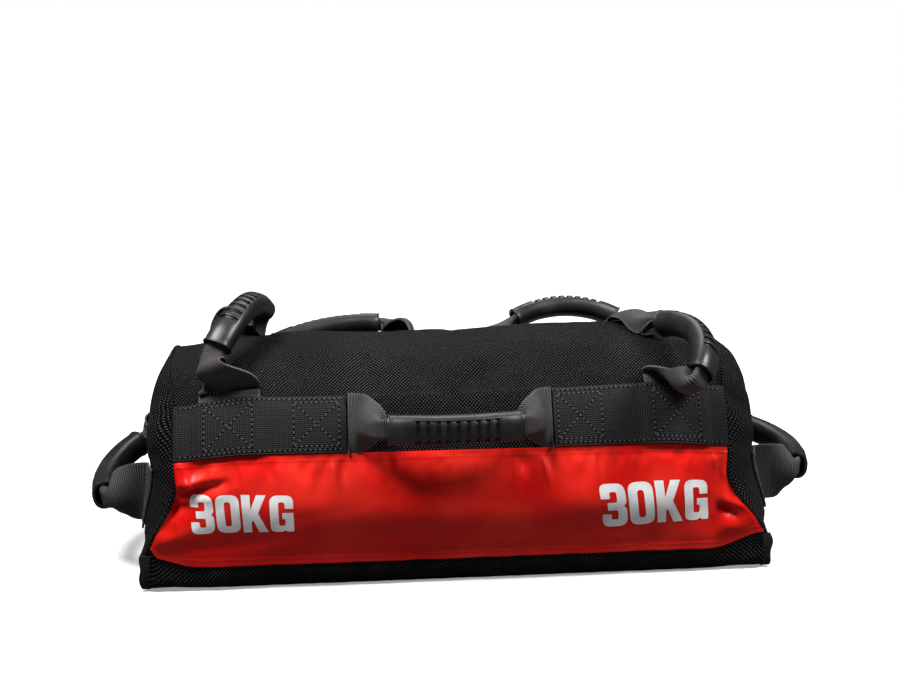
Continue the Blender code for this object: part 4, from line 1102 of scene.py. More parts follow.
def make_end(name, side):
    """One bulging end panel."""
    def place(u, v):
        return end_skin(side, u * PERIMETER, 1.0 - v ** 1.15)

    piece = cloth_grid(name + "_cloth", (230, 44), place, (1.0, 1.0))
    edit_all(piece, bpy.ops.mesh.remove_doubles, threshold=0.00005)
    face_towards(piece, (side, 0.0, 0.0))
    set_uv(piece, points_of(piece)[:, 1:])
    apply_modifier(piece, "SOLIDIFY", thickness=CANVAS_THICKNESS, offset=-1.0)
    finish_piece(piece, canvas, "bag", (name,))
    return piece


for side_name, side in SIDES:
    end_piece = make_end("end_panel_" + side_name, side)
    print(end_piece.name, len(end_piece.data.polygons), "faces")

# %% [markdown]
# ## Webbing bands and sewn strap ends
# Webbing is stiff and flat, so it is laid directly: a narrow grid that follows the bag, two
# millimetres thick, with its edges rounded by a small bevel. The front band climbs over the
# strap ends that are sewn below it.

# %% Lay the bands and the strap ends
FRONT_X = -0.023 * BAND_HALF_LENGTH
REAR_LEFT_X = -0.401 * BAND_HALF_LENGTH
REAR_RIGHT_X = 0.565 * BAND_HALF_LENGTH
TOP_X = 0.805 * BAND_HALF_LENGTH
FRONT_OPENING = 0.0974
REAR_OPENING = 0.0864
TAB_EDGE = WEB_WIDTH / 2 + GAP


def band_lift(x):
    """How far the front band stands off the bag at a place along it."""
    across = np.abs(np.abs(x) - TOP_X)
    return GAP + (WEB_THICKNESS + GAP) * smooth(TAB_EDGE + 0.007, TAB_EDGE, across)


def plain_lift(x):
    """The rear band lies straight on the bag."""
    return GAP + 0.0 * x


def flat_webbing(name, place, size, material, replaced):
    """A length of webbing with rounded edges, sewn on the bag."""
    cells = [max(4, round(side / 0.003)) for side in size]
    piece = cloth_grid(name + "_weave", cells, place, size, WEB_THICKNESS)
    apply_modifier(piece, "BEVEL", width=0.0005, segments=2, limit_method="ANGLE",
                   angle_limit=math.radians(60))
    return finish_piece(piece, material, "bag", replaced)


def band(name, x_low, x_high, arc_low, arc_high, lift):
    """A length of band sewn flat on the bag."""
    def place(u, v):
        x = x_low + (x_high - x_low) * u
        arc = arc_low + GAP + (arc_high - arc_low - 2 * GAP) * v
        share = np.clip(share_at(x, arc), -1.0, 1.0)
        fray = 0.00025 * np.sin(x * 900.0) * (np.abs(v - 0.5) > 0.49)
        return bag(share, arc + fray, lift(x) + WEB_THICKNESS)

    return flat_webbing(name, place, (x_high - x_low, arc_high - arc_low), band_webbing, (name,))


def strap_end(name, x, arc_low, arc_high):
    """The sewn end of a top handle's strap: its length runs round the bag."""
    def place(u, v):
        across = x + WEB_WIDTH / 2 - WEB_WIDTH * v
        arc = arc_low + (arc_high - arc_low) * u
        return bag(share_at(across, arc), arc, GAP + WEB_THICKNESS)

    return flat_webbing(name, place, (arc_high - arc_low, WEB_WIDTH), webbing, (name,))


for band_name, x_low, x_high in (("left", -BAND_HALF_LENGTH, FRONT_X - FRONT_OPENING),
                                 ("right", FRONT_X + FRONT_OPENING, BAND_HALF_LENGTH)):
    band("front_band_" + band_name, x_low, x_high, BAND_LOW, BAND_HIGH, band_lift)
for band_name, x_low, x_high in (
        ("left", -BAND_HALF_LENGTH, REAR_LEFT_X - REAR_OPENING),
        ("middle", REAR_LEFT_X + REAR_OPENING, REAR_RIGHT_X - REAR_OPENING),
        ("right", REAR_RIGHT_X + REAR_OPENING, BAND_HALF_LENGTH)):
    band("rear_band_" + band_name, x_low, x_high, REAR_BAND_HIGH, REAR_BAND_LOW, plain_lift)
for side_name, side in SIDES:
    strap_end("top_" + side_name + "_tab_front", side * TOP_X, BAND_LOW + 0.01425,
              TAB_HIGH - 0.0009)
    strap_end("top_" + side_name + "_tab_rear", side * TOP_X, REAR_ROOT + 0.0028,
              REAR_BAND_HIGH - GAP)
print("webbing laid:", len(made))


# %% Lay the side handles' strap ends
SIDE_TAB_NEAR, SIDE_TAB_FAR = 0.0694, 0.0954


def side_end(name, side, way, middle):
    """The sewn end of a side handle's strap, on an end panel."""
    length = SIDE_TAB_FAR - SIDE_TAB_NEAR

    def place(u, v):
        depth = way * (SIDE_TAB_NEAR + length * u)
        height = middle + way * side * WEB_WIDTH * (v - 0.5)
        return np.array([end_at(side, float(d), float(h), 0.0009 + WEB_THICKNESS)
                         for d, h in zip(depth, height)])

    return flat_webbing(name, place, (length, WEB_WIDTH), webbing, (name,))


for side_name, side in SIDES:
    for face_name, (way, middle) in zip(("front", "rear"), SIDE_HEIGHTS):
        side_end("side_" + side_name + "_tab_" + face_name, side, way, middle)
print("side strap ends laid")

# %% [markdown]
# ## Rubber grips
# A grip is a moulded sleeve. One is modelled straight: a tube is cut into rings, given its wall,
# and the finger slots are picked by their place and pushed in. A small bevel rounds every
# slot. Blender's bend tool needs a window, so the copies are laid along their arcs in code:
# each point keeps its distance from the middle line while that line curves.

# %% Model one straight grip
GRIP_LENGTH = 0.122
GRIP_HALF_WIDTH = 0.0136
GRIP_HALF_HEIGHT = 0.0112
GRIP_WALL = 0.0027
LIP_INSETS = (0.0012, 0.0017)
SLOT_COUNT = 9
SLOT_PITCH = 0.0088
SLOT_HALF = 0.0021
SLOT_DEPTH = 0.0017
WINDOW_DEPTH = 0.0006
WINDOW_MARGIN = 0.0036
SLOT_MIDDLES = [(index - (SLOT_COUNT - 1) / 2) * SLOT_PITCH + 0.0012
                for index in range(SLOT_COUNT)]
WINDOW = (SLOT_MIDDLES[0] - WINDOW_MARGIN, SLOT_MIDDLES[-1] + WINDOW_MARGIN)


def grip_rings():
    """Places along the grip where its tube is cut: lips, window ends and slot edges."""
    half = GRIP_LENGTH / 2
    places = [*WINDOW]
    for middle in SLOT_MIDDLES:
        places += [middle - SLOT_HALF, middle, middle + SLOT_HALF]
    for inset in (*LIP_INSETS, 0.006, 0.012):
        places += [-half + inset, half - inset]
    return sorted(places)


def model_grip(low, high):
    """A straight grip along X; its window lies between two angles round it, in degrees."""
    clear()
    bpy.ops.mesh.primitive_cylinder_add(vertices=48, radius=1.0, depth=GRIP_LENGTH,
                                        end_fill_type="NOTHING",
                                        rotation=(0.0, math.pi / 2, 0.0))
    grip = bpy.context.object
    bpy.ops.object.transform_apply(location=False, rotation=True, scale=False)
    bpy.ops.object.mode_set(mode="EDIT")
    cut_across((1.0, 0.0, 0.0), grip_rings())
    bpy.ops.object.mode_set(mode="OBJECT")
    points = points_of(grip)
    angle = np.arctan2(points[:, 2], points[:, 1])
    squared = [np.sign(wave) * np.abs(wave) ** 0.86 for wave in (np.cos(angle), np.sin(angle))]
    from_end = GRIP_LENGTH / 2 - np.abs(points[:, 0])
    lip = 0.0008 * smooth(LIP_INSETS[1], LIP_INSETS[0], from_end)
    swell = 0.0005 * smooth(0.020, 0.045, from_end)
    points[:, 1] = squared[0] * (GRIP_HALF_WIDTH + lip - swell)
    points[:, 2] = squared[1] * (GRIP_HALF_HEIGHT + lip + swell)
    move_points(grip, points)
    apply_modifier(grip, "SOLIDIFY", thickness=GRIP_WALL, offset=-1.0)

    def in_window(at, normal):
        """The outer faces of the window that the fingers lie in."""
        round_it = (at.y / GRIP_HALF_WIDTH, at.z / GRIP_HALF_HEIGHT)
        outward = normal.y * at.y + normal.z * at.z > 0.0 and abs(normal.x) < 0.5
        return (outward and WINDOW[0] < at.x < WINDOW[1] and math.hypot(*round_it) > 0.8
                and low < math.degrees(math.atan2(round_it[1], round_it[0])) < high)

    def in_slot(at, normal):
        """The faces of the window between a slot's two edges."""
        near = min(abs(at.x - middle) for middle in SLOT_MIDDLES)
        return near < SLOT_HALF and in_window(at, normal)

    for is_chosen, depth in ((in_window, WINDOW_DEPTH), (in_slot, SLOT_DEPTH)):
        select_faces(grip, is_chosen)
        bpy.ops.mesh.extrude_region_shrink_fatten(TRANSFORM_OT_shrink_fatten={"value": -depth})
        bpy.ops.object.mode_set(mode="OBJECT")
    # Mark the slot floors, which the rubber paints near-black as the shade in the slots.
    slot_shade = grip.data.attributes.new("slot_shade", "FLOAT", "FACE")
    slot_shade.data.foreach_set("value", [float(face.select) for face in grip.data.polygons])
    return apply_modifier(grip, "BEVEL", width=0.0004, segments=2, limit_method="ANGLE",
                          angle_limit=math.radians(38))


GRIP_FORMS = {"front": model_grip(47.0, 156.0), "left": model_grip(10.0, 122.0),
              "middle": model_grip(32.0, 148.0)}
print("one grip:", len(GRIP_FORMS["front"].data.polygons), "faces")

# %% [markdown]
# ## How a handle lies
# A handle is a webbing loop whose two ends are sewn to the bag and whose middle runs through a
# grip. The grip bows along an arc that has its own length. Each leg of the loop leaves its
# sewn end flat, curves to the mouth, and turns so that it enters the grip the right way up.
# These are the same curves as in the CAD, so the loop lies where its solid does. Three legs
# also sway or twist by some millimetres, because soft webbing never hangs quite true.


# %% Curves of a handle
def arc_angle(span):
    """Half the angle of the arc that has the grip's length over a straight span."""
    low, high = 0.001, math.pi / 2
    for _ in range(40):
        angle = (low + high) / 2
        if math.sin(angle) / angle > span / GRIP_LENGTH:
            low = angle
        else:
            high = angle
    return angle


def grip_station(mouths, bow, share):
    """The place, run and outward direction at a share of the grip, from -1 to 1."""
    chord = mouths[1] - mouths[0]
    run = chord.normalized()
    out = (bow - run * bow.dot(run)).normalized()
    half_angle = arc_angle(chord.length)
    radius = GRIP_LENGTH / 2 / half_angle
    angle = share * half_angle
    place = ((mouths[0] + mouths[1]) / 2 + run * radius * math.sin(angle)
             + out * radius * (math.cos(angle) - math.cos(half_angle)))
    return (place, run * math.cos(angle) - out * math.sin(angle),
            out * math.cos(angle) + run * math.sin(angle))


ROOT_PULL = 0.014


def leg_stations(root, mouth, mouth_pull, count):
    """Stations of a strap leg from its root to the grip's mouth."""
    bends = (root[0], root[0] + root[1] * ROOT_PULL, mouth[0] + mouth[1] * mouth_pull, mouth[0])
    shares = [index / (count - 1) for index in range(count)]
    places = []
    for share in shares:
        rest = 1.0 - share
        places.append(bends[0] * rest ** 3 + bends[1] * 3.0 * rest ** 2 * share
                      + bends[2] * 3.0 * rest * share ** 2 + bends[3] * share ** 3)
    runs = [root[1].copy()]
    runs += [(after - before).normalized() for before, after in zip(places, places[2:])]
    runs.append(-mouth[1])
    outs = [root[2].copy()]
    for before, after in zip(runs, runs[1:]):
        outs.append(before.rotation_difference(after) @ outs[-1])
    gap_angle = math.atan2(runs[-1].dot(outs[-1].cross(mouth[2])), outs[-1].dot(mouth[2]))
    return [(place, run, Matrix.Rotation(gap_angle * float(smooth(0.0, 1.0, share)), 3, run) @ out,
             share) for share, place, run, out in zip(shares, places, runs, outs)]


LOOP_SPAN = 0.1165
print("half angle of a handle's arc:", round(math.degrees(arc_angle(LOOP_SPAN)), 2), "degrees")


# %% Fold webbing lengthwise
FOLD_HALF_WIDTH = 0.0102
FOLD_HALF_THICKNESS = 0.0042
FULL_CURL = math.radians(176.0)
INNER_TURN, OUTER_TURN = 0.0017, 0.0032


def folded(across, fold):
    """Where a point of the webbing's width goes as its sides curl back and then lie flat.

    The width first bends into one arc whose middle stands out, and is then pressed into a
    flat stack of three layers. The last value is how far the whole width stands out.
    """
    if fold <= 0.0:
        return across, 0.0, 0.0
    pressed = float(smooth(0.45, 1.0, fold))
    angle = FULL_CURL * fold
    tight = INNER_TURN if across < 0.0 else OUTER_TURN
    centre = (FOLD_HALF_WIDTH - WEB_THICKNESS / 2 - tight) * pressed
    radius = (WEB_WIDTH / 2 - centre) / angle * (1.0 - pressed) + tight * pressed
    reach = abs(across)
    if reach <= centre:
        side, deep = reach, 0.0
    elif reach <= centre + radius * angle:
        turn = (reach - centre) / radius
        side, deep = centre + radius * math.sin(turn), radius * (1.0 - math.cos(turn))
    else:
        rest = reach - centre - radius * angle
        side = centre + radius * math.sin(angle) + rest * math.cos(angle)
        deep = radius * (1.0 - math.cos(angle)) + rest * math.sin(angle)
    bulge = 0.5 * radius * (1.0 - math.cos(min(angle, math.pi / 2))) * (1.0 - pressed)
    return (math.copysign(side, across), deep,
            (FOLD_HALF_THICKNESS - WEB_THICKNESS / 2) * pressed + bulge)


print("edge of the webbing, folded:",
      [round(value * 1000, 1) for value in folded(WEB_WIDTH / 2, 1.0)], "mm")


# %% Make a handle
LEG_STATIONS = 30
CORE_STATIONS = 19
CORE_REACH = 1.05
STRAP_COLUMNS = 40
GATHER = ((0.10, 0.97), (0.10, 0.97))
STRAIGHT = ((0.0, 0.0, 0.0), 0.0)


def strap_stations(roots, mouths, bow, pulls, gather, sways):
    """Every station of the loop, from the first sewn end to the second, with its two folds."""
    legs = []
    for end, root, pull, (sway, twist) in zip((-1.0, 1.0), roots, pulls, sways):
        place, along, away = grip_station(mouths, bow, end * CORE_REACH)
        stations = leg_stations(root, (place, along * end, away), pull, LEG_STATIONS)
        leg = []
        for place, run, out, share in stations:
            wave = math.sin(math.pi * share) ** 2
            turn = Matrix.Rotation(twist * wave, 3, run)
            folds = [float(np.clip((share - low) / (high - low), 0.0, 1.0)) ** 1.3
                     for low, high in gather]
            leg.append((place + Vector(sway) * wave, run, turn @ out, folds))
        legs.append(leg)
    core = []
    for index in range(1, CORE_STATIONS - 1):
        share = (index / (CORE_STATIONS - 1) * 2.0 - 1.0) * CORE_REACH
        core.append((*grip_station(mouths, bow, share), (1.0, 1.0)))
    return legs[0] + core + [(place, -run, out, folds) for place, run, out, folds
                             in reversed(legs[1])]


def make_strap(name, roots, mouths, bow, pulls, gather, sways):
    """The webbing loop of a handle."""
    stations = strap_stations(roots, mouths, bow, pulls, gather, sways)
    lengths = np.concatenate([[0.0], np.cumsum([
        (after[0] - before[0]).length for before, after in zip(stations, stations[1:])])])

    def place(u, v):
        rows = np.rint(u * (len(stations) - 1)).astype(int)
        points = []
        for row, share in zip(rows, v):
            middle, run, out, folds = stations[row]
            side, deep, _ = folded((share - 0.5) * (WEB_WIDTH - 0.0002), folds[int(share > 0.5)])
            rise = (folded(0.0, folds[0])[2] + folded(0.0, folds[1])[2]) / 2
            points.append(middle - out.cross(run) * side + out * (rise - deep))
        return np.array(points)

    piece = cloth_grid(name, (len(stations) - 1, STRAP_COLUMNS), place,
                       (float(lengths[-1]), WEB_WIDTH), lengths=lengths)
    apply_modifier(piece, "SOLIDIFY", thickness=WEB_THICKNESS, offset=0.0)
    return piece


def make_handle(name, roots, mouths, bow, form, pulls=(0.017, 0.017), gather=GATHER,
                sways=(STRAIGHT, STRAIGHT)):
    """A grip on its webbing loop, both where the CAD has them."""
    hinge = (roots[0][0] + roots[1][0]) / 2
    mouths = [hinge + mouth for mouth in mouths]
    grip = GRIP_FORMS[form].copy()
    grip.data = GRIP_FORMS[form].data.copy()
    grip.name = name + "_grip_rubber"
    bpy.context.scene.collection.objects.link(grip)
    points = []
    for x, y, z in points_of(grip):
        place, along, away = grip_station(mouths, bow, x / (GRIP_LENGTH / 2))
        points.append(place + away.cross(along) * y + away * z)
    move_points(grip, points)
    finish_piece(grip, rubber, name, (name + "_grip",), 50.0)
    strap = make_strap(name + "_webbing", roots, mouths, bow, pulls, gather, sways)
    finish_piece(strap, webbing, "", (name + "_strap",), 60.0)
    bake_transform(strap)
    return grip, strap


print("handle maker ready")


# %% Lay the front and rear handles
BAND_ROOT_OUT = 0.0016


def tilted(angle, way):
    """A direction in the section plane, an angle above the horizontal."""
    return Vector((0.0, way * math.cos(angle), math.sin(angle)))


def long_handle(name, x, half_chord, arc, out, lie, span, gather=GATHER,
                sways=(STRAIGHT, STRAIGHT)):
    """A handle whose grip runs along the bag."""
    reach, dip, shift = lie
    roots = []
    for side in (-1.0, 1.0):
        place = x + side * half_chord
        share = share_at(place, arc)
        away = Vector(skin_out(share, arc))
        roots.append((Vector(skin(share, arc)) + away * BAND_ROOT_OUT,
                      Vector((-side, 0.0, 0.0)), away))
    mouths = [Vector((side * span / 2 + shift, 0.0, 0.0)) + out * (reach + side * dip / 2)
              for side in (-1.0, 1.0)]
    return make_handle(name, roots, mouths, out, "front", gather=gather, sways=sways)


long_handle("front_handle", FRONT_X, 0.096, BAND_MIDDLE, tilted(0.0, -1.0),
            (0.031, -0.004, 0.0), 0.1212, ((0.16, 0.97), (0.02, 0.82)))
long_handle("rear_left_handle", REAR_LEFT_X, 0.085, REAR_BAND_MIDDLE,
            tilted(math.radians(38), 1.0), (0.043, 0.028, -0.010), LOOP_SPAN,
            sways=(STRAIGHT, ((0.010, -0.002, 0.012), 0.0)))
long_handle("rear_right_handle", REAR_RIGHT_X, 0.085, REAR_BAND_MIDDLE,
            tilted(math.radians(62), 1.0), (0.047, 0.0, 0.008), LOOP_SPAN,
            sways=(((-0.016, -0.002, 0.005), 0.0), STRAIGHT))
print("front and rear handles laid")


# %% Lay the top and side handles
TAB_ROOT_OUT = 0.0018
SIDE_ROOT_OUT = 0.0027
SIDE_ROOT_DEPTH = 0.068


def top_handle(name, x, mouth_shares, bow_shares, form, pulls, sways=(STRAIGHT, STRAIGHT)):
    """A handle whose grip runs across the top of the bag."""
    roots = []
    for arc, way in ((TAB_HIGH + WEB_THICKNESS / 2, -1.0), (REAR_ROOT - WEB_THICKNESS / 2, 1.0)):
        share = share_at(x, arc)
        around = Vector(skin_round(share, arc)).normalized()
        away = Vector(skin_out(share, arc))
        roots.append((Vector(skin(share, arc)) + away * TAB_ROOT_OUT, away, around * way))
    mouths = [Vector(shares) * GRIP_LENGTH for shares in mouth_shares]
    return make_handle(name, roots, mouths, Vector(bow_shares), form, pulls, sways=sways)


def side_handle(name, side, front_lie, rear_lie, gather=GATHER):
    """A handle on an end panel; each lie holds how far a mouth reaches out and droops."""
    roots = []
    for way, height in SIDE_HEIGHTS:
        depth = way * (SIDE_ROOT_DEPTH - WEB_THICKNESS / 2)
        rearward = (end_at(side, depth + ROUND_STEP, height)
                    - end_at(side, depth - ROUND_STEP, height)).normalized()
        upward = (end_at(side, depth, height + ROUND_STEP)
                  - end_at(side, depth, height - ROUND_STEP)).normalized()
        outward = (rearward.cross(upward) * side).normalized()
        roots.append((end_at(side, depth, height, SIDE_ROOT_OUT), outward, rearward * way))
    line = (roots[1][0] - roots[0][0]).normalized()
    mouths, out = [], Vector()
    for way, (reach, droop) in ((-1.0, front_lie), (1.0, rear_lie)):
        lean = Vector((side * math.cos(droop), 0.0, -math.sin(droop)))
        mouths.append(line * way * LOOP_SPAN / 2 + lean * reach)
        out += lean
    return make_handle(name, roots, mouths, out, "middle", gather=gather)


top_handle("top_left_handle", -TOP_X, ((-0.088, -0.53, 0.20), (0.22, 0.31, 0.37)),
           (0.30, -0.20, 1.0), "left", (0.026, 0.026),
           (((-0.009, -0.002, 0.003), math.radians(-55)), STRAIGHT))
top_handle("top_right_handle", TOP_X, ((0.05, -1.19, -0.035), (0.0, -0.31, 0.217)),
           (0.75, -0.10, 0.60), "middle", (0.032, 0.026))
side_handle("side_left_handle", -1.0, (0.041, math.radians(10)), (0.025, math.radians(8)))
side_handle("side_right_handle", 1.0, (0.046, math.radians(-2)), (0.038, math.radians(4)),
            ((0.30, 1.0), (0.30, 1.0)))
for grip_form in GRIP_FORMS.values():
    bpy.data.objects.remove(grip_form)
print("all seven handles laid")

# %% [markdown]
# ## Stitches
# Sewing is what makes webbing look sewn. One stitch is a tiny rounded bead of thread, modelled
# once and repeated along every seam. The boxes with crossed diagonals hold the strap ends.
# All stitches of one piece of cloth are one mesh, because a thread is one length.

# %% Stitch maker
clear()
bpy.ops.mesh.primitive_uv_sphere_add(segments=6, ring_count=4, radius=1.0)
BEAD = take_form(bpy.context.object)
RUN_STEP = 0.0012


def sew(name, runs, thread, slot, pitch=0.0046, long=0.0015, wide=0.0006, sink=0.0, phase=0.5):
    """Sew runs of thread. A run is an array of points and an array of outward directions."""
    spots = []
    for places, outs in runs:
        steps = np.linalg.norm(np.diff(places, axis=0), axis=1)
        lengths = np.concatenate([[0.0], np.cumsum(steps)])
        count = max(2, int(lengths[-1] / pitch))
        for at in (np.arange(count) + phase) * lengths[-1] / count:
            middle, ahead, behind, out = (
                np.array([np.interp(place, lengths, array[:, axis]) for axis in range(3)])
                for place, array in ((at, places), (at + RUN_STEP, places),
                                     (at - RUN_STEP, places), (at, outs)))
            along = ahead - behind
            along /= np.linalg.norm(along)
            out = out - along * out.dot(along)
            out /= np.linalg.norm(out)
            spots.append((middle - out * sink, along * long, np.cross(out, along) * wide,
                          out * wide))
    return finish_piece(repeat_form(name, BEAD, spots), thread, "bag")


def sew_webbing(name, runs):
    """Sew webbing: pale stitches, and between them painted shade where the thread dips in."""
    sew(name + "_stitches", runs, black_thread, "grey_webbing")
    sew(name + "_needle_shade_beads", runs, needle_hole_shade, "grey_webbing", long=0.0011, wide=0.0011,
        sink=0.0007, phase=0.0)


def run_on_bag(x_start, arc_start, x_stop, arc_stop, lift, count=60):
    """A straight run of thread on the bag, as points and outward directions."""
    x = np.linspace(x_start, x_stop, count)
    arc = np.linspace(arc_start, arc_stop, count)
    share = np.clip(share_at(x, arc), -1.0, 1.0)
    return bag(share, arc, lift(x)), skin_out(share, arc)


def cross_lines(corners):
    """The two ends of each line of a box with both diagonals."""
    return [*zip(corners, corners[1:] + corners[:1]), (corners[0], corners[2]),
            (corners[1], corners[3])]


def box_with_cross(x_low, x_high, arc_low, arc_high, lift):
    """The runs of a box with both diagonals."""
    corners = ((x_low, arc_low), (x_high, arc_low), (x_high, arc_high), (x_low, arc_high))
    return [run_on_bag(*start, *stop, lift, 30) for start, stop in cross_lines(corners)]


print("one stitch:", len(BEAD[1]), "faces")


# %% Sew the bands
SEAM_INSET = 0.0035
BOX_INSET = 0.007


def on_band(x):
    """The height of thread on the front band."""
    return band_lift(x) + WEB_THICKNESS + 0.0001


def on_rear_band(x):
    """The height of thread on the rear band."""
    return plain_lift(x) + WEB_THICKNESS + 0.0001


def sew_band(name, lengths, boxes, arc_low, arc_high, lift, count):
    """Sew both edges of each length of a band, and its boxed crosses."""
    runs = [run_on_bag(x_low, arc, x_high, arc, lift, count) for x_low, x_high in lengths
            for arc in (arc_low + SEAM_INSET, arc_high - SEAM_INSET)]
    for x_low, x_high in boxes:
        runs += box_with_cross(x_low, x_high, arc_low + BOX_INSET, arc_high - BOX_INSET, lift)
    sew_webbing(name, runs)


end = BAND_HALF_LENGTH - 0.004
sew_band("front_band", ((-end, FRONT_X - 0.101), (FRONT_X + 0.101, end)),
         ((-0.234, -0.190), (-0.152, -0.110), (0.096, 0.138), (0.188, 0.234)),
         BAND_LOW, BAND_HIGH, on_band, 120)
sew_band("rear_band", ((-end, REAR_LEFT_X - 0.090), (REAR_LEFT_X + 0.090, REAR_RIGHT_X - 0.090),
                       (REAR_RIGHT_X + 0.090, end)),
         ((-0.240, -0.198), (-0.013, 0.022), (0.024, 0.056)),
         REAR_BAND_HIGH, REAR_BAND_LOW, on_rear_band, 90)
print("bands sewn")


# %% Sew the coated panel and the strap ends
def on_red(x):
    """The height of thread on the coated panel's hems."""
    return 0.0002 + 0.0 * x


HEM_STITCH = {"pitch": 0.0036, "long": 0.0012, "wide": 0.00036}
shares = np.linspace(-0.985, 0.985, 160)
lower = front_seam(shares) + HEM
hem_end = end - 0.002
# The upper hem's thread is painted dark as the shade in its stitch holes; the lower's is pale red.
for hem_name, run, thread in (
        ("upper", run_on_bag(-hem_end, BAND_LOW - HEM, hem_end, BAND_LOW - HEM, on_red, 120),
         hem_shade_thread),
        ("lower", (bag(shares, lower, 0.0002), skin_out(shares, lower)), pale_thread)):
    sew(hem_name + "_hem_stitches", [run], thread, "red_coated_cloth", **HEM_STITCH)
sew_webbing("top_strap", [run for x in (-TOP_X, TOP_X) for run in box_with_cross(
    x - 0.0225, x + 0.0225, REAR_ROOT + 0.006, REAR_BAND_HIGH - 0.006, on_rear_band)])


def side_run(side, start, stop):
    """A straight run of thread on a side handle's sewn strap end."""
    share = np.linspace(0.0, 1.0, 24)[:, None]
    flat = np.array(start) * (1.0 - share) + np.array(stop) * share
    places = np.array([end_at(side, float(y), float(z), 0.0031) for y, z in flat])
    return places, np.tile((side, 0.0, 0.0), (24, 1))


for side_name, side in SIDES:
    runs = []
    for way, middle in SIDE_HEIGHTS:
        near, far, low, high = way * 0.074, way * 0.091, middle - 0.023, middle + 0.023
        corners = ((near, low), (far, low), (far, high), (near, high))
        runs += [side_run(side, *ends) for ends in cross_lines(corners)]
    sew("side_" + side_name + "_stitches", runs, black_thread, "grey_webbing")
print("sewn pieces:", len(made))

# %% [markdown]
# ## The weight in print
# The weight is printed twice in plain block letters. A letter is drawn once as a flat closed
# outline in a two-dimensional curve, with its inner outline as a hole, and its corners are
# rounded by a short arc. Made into a mesh and cut on a fine grid, it can be laid on the settled
# cloth, so that the print bends with every crease.

# %% Draw and lay the print
GLYPHS = {
    "3": [[(0, 68, 2), (0, 100, 22), (58, 100, 22), (58, 56, 7), (51, 50, 3), (58, 44, 7),
           (58, 0, 22), (0, 0, 22), (0, 32, 2), (21, 32, 2), (21, 18, 5), (37, 18, 5),
           (37, 41, 5), (14, 41, 2), (14, 59, 2), (37, 59, 5), (37, 82, 5), (21, 82, 5),
           (21, 68, 2)]],
    "0": [[(0, 0, 22), (0, 100, 22), (58, 100, 22), (58, 0, 22)],
          [(21, 18, 8), (37, 18, 8), (37, 82, 8), (21, 82, 8)]],
    "K": [[(0, 0, 1), (0, 100, 1), (21, 100, 1), (21, 62, 1), (37, 100, 1), (60, 100, 1),
           (39, 53, 1), (62, 0, 1), (39, 0, 1), (26, 35, 1), (21, 27, 1), (21, 0, 1)]],
    "G": [[(58, 65, 2), (37, 65, 2), (37, 82, 6), (21, 82, 6), (21, 18, 6), (37, 18, 6),
           (37, 37, 2), (30, 37, 2), (30, 54, 2), (58, 54, 2), (58, 0, 3), (40, 0, 3), (38, 5, 2),
           (30, 0, 8), (0, 0, 22), (0, 100, 22), (58, 100, 22)]],
}
PRINTS = {
    # x and arc of the top left, top right, bottom left and bottom right corners
    "weight_print_left": ((-0.248, 0.226), (-0.154, 0.222), (-0.245, 0.188), (-0.153, 0.188)),
    "weight_print_right": ((0.131, 0.224), (0.239, 0.225), (0.138, 0.181), (0.242, 0.184)),
}
LETTER_GAP = 6.0
INK_LIFT = 0.00022


def rounded(outline):
    """Replace each corner of an outline by a short arc."""
    points = []
    for index, (x, y, radius) in enumerate(outline):
        corner = Vector((x, y))
        before = Vector(outline[index - 1][:2]) - corner
        after = Vector(outline[(index + 1) % len(outline)][:2]) - corner
        cut = min(radius, before.length * 0.5, after.length * 0.5)
        start, stop = corner + before.normalized() * cut, corner + after.normalized() * cut
        for step in range(6):
            t = step / 5
            points.append(start * (1 - t) ** 2 + corner * 2 * t * (1 - t) + stop * t ** 2)
    return points


def draw_text(name, text_line):
    """A flat mesh of block letters, one unit wide and one high."""
    drawing = bpy.data.curves.new(name, "CURVE")
    drawing.dimensions = "2D"
    drawing.fill_mode = "BOTH"
    left = 0.0
    for letter in text_line:
        for outline in GLYPHS[letter]:
            points = rounded(outline)
            spline = drawing.splines.new("POLY")
            spline.points.add(len(points) - 1)
            for spot, point in zip(spline.points, points):
                spot.co = (left + point.x, point.y, 0.0, 1.0)
            spline.use_cyclic_u = True
        left += max(x for x, _, _ in GLYPHS[letter][0]) + LETTER_GAP
    letters = bpy.data.objects.new(name, drawing)
    bpy.context.scene.collection.objects.link(letters)
    pick(letters)
    bpy.ops.object.convert(target="MESH")
    letters = bpy.context.object
    points = points_of(letters) / (left - LETTER_GAP, 100.0, 1.0)
    points[:, 2] = 0.0
    move_points(letters, points)
    bpy.ops.object.mode_set(mode="EDIT")
    for square, count in (((1.0, 0.0, 0.0), 48), ((0.0, 1.0, 0.0), 20)):
        cut_across(square, [step / count for step in range(1, count)])
    bpy.ops.object.mode_set(mode="OBJECT")
    return letters


def lay_print(name, quad):
    """Lay the letters on the coated panel inside a quad of x and arc."""
    letters = draw_text(name, "30KG")
    top_left, top_right, low_left, low_right = (np.array(corner) for corner in quad)
    flat = points_of(letters)
    u, v = flat[:, :1], flat[:, 1:2]
    spot = ((low_left * (1 - u) + low_right * u) * (1 - v)
            + (top_left * (1 - u) + top_right * u) * v)
    arc = spot[:, 1]
    off = np.minimum(arc - front_seam(0.0), BAND_LOW - arc)
    move_points(letters, bag(share_at(spot[:, 0], arc), arc, hemmed(off, off) + INK_LIFT))
    face_towards(letters, (0.0, -1.0, 0.0))
    finish_piece(letters, ink, "bag")
    return len(letters.data.polygons)


for print_name, print_quad in PRINTS.items():
    print(print_name, lay_print(print_name, print_quad), "faces")

# %% [markdown]
# ## Seams at the ends and bound corners
# At each end the panels are joined right sides together and turned, which leaves a soft ridge.
# A grid wrapped round the seam line makes it. Where the seams meet the base, their ends stick
# out and are bound with a folded tape, made from a grid that goes over the fin and back.

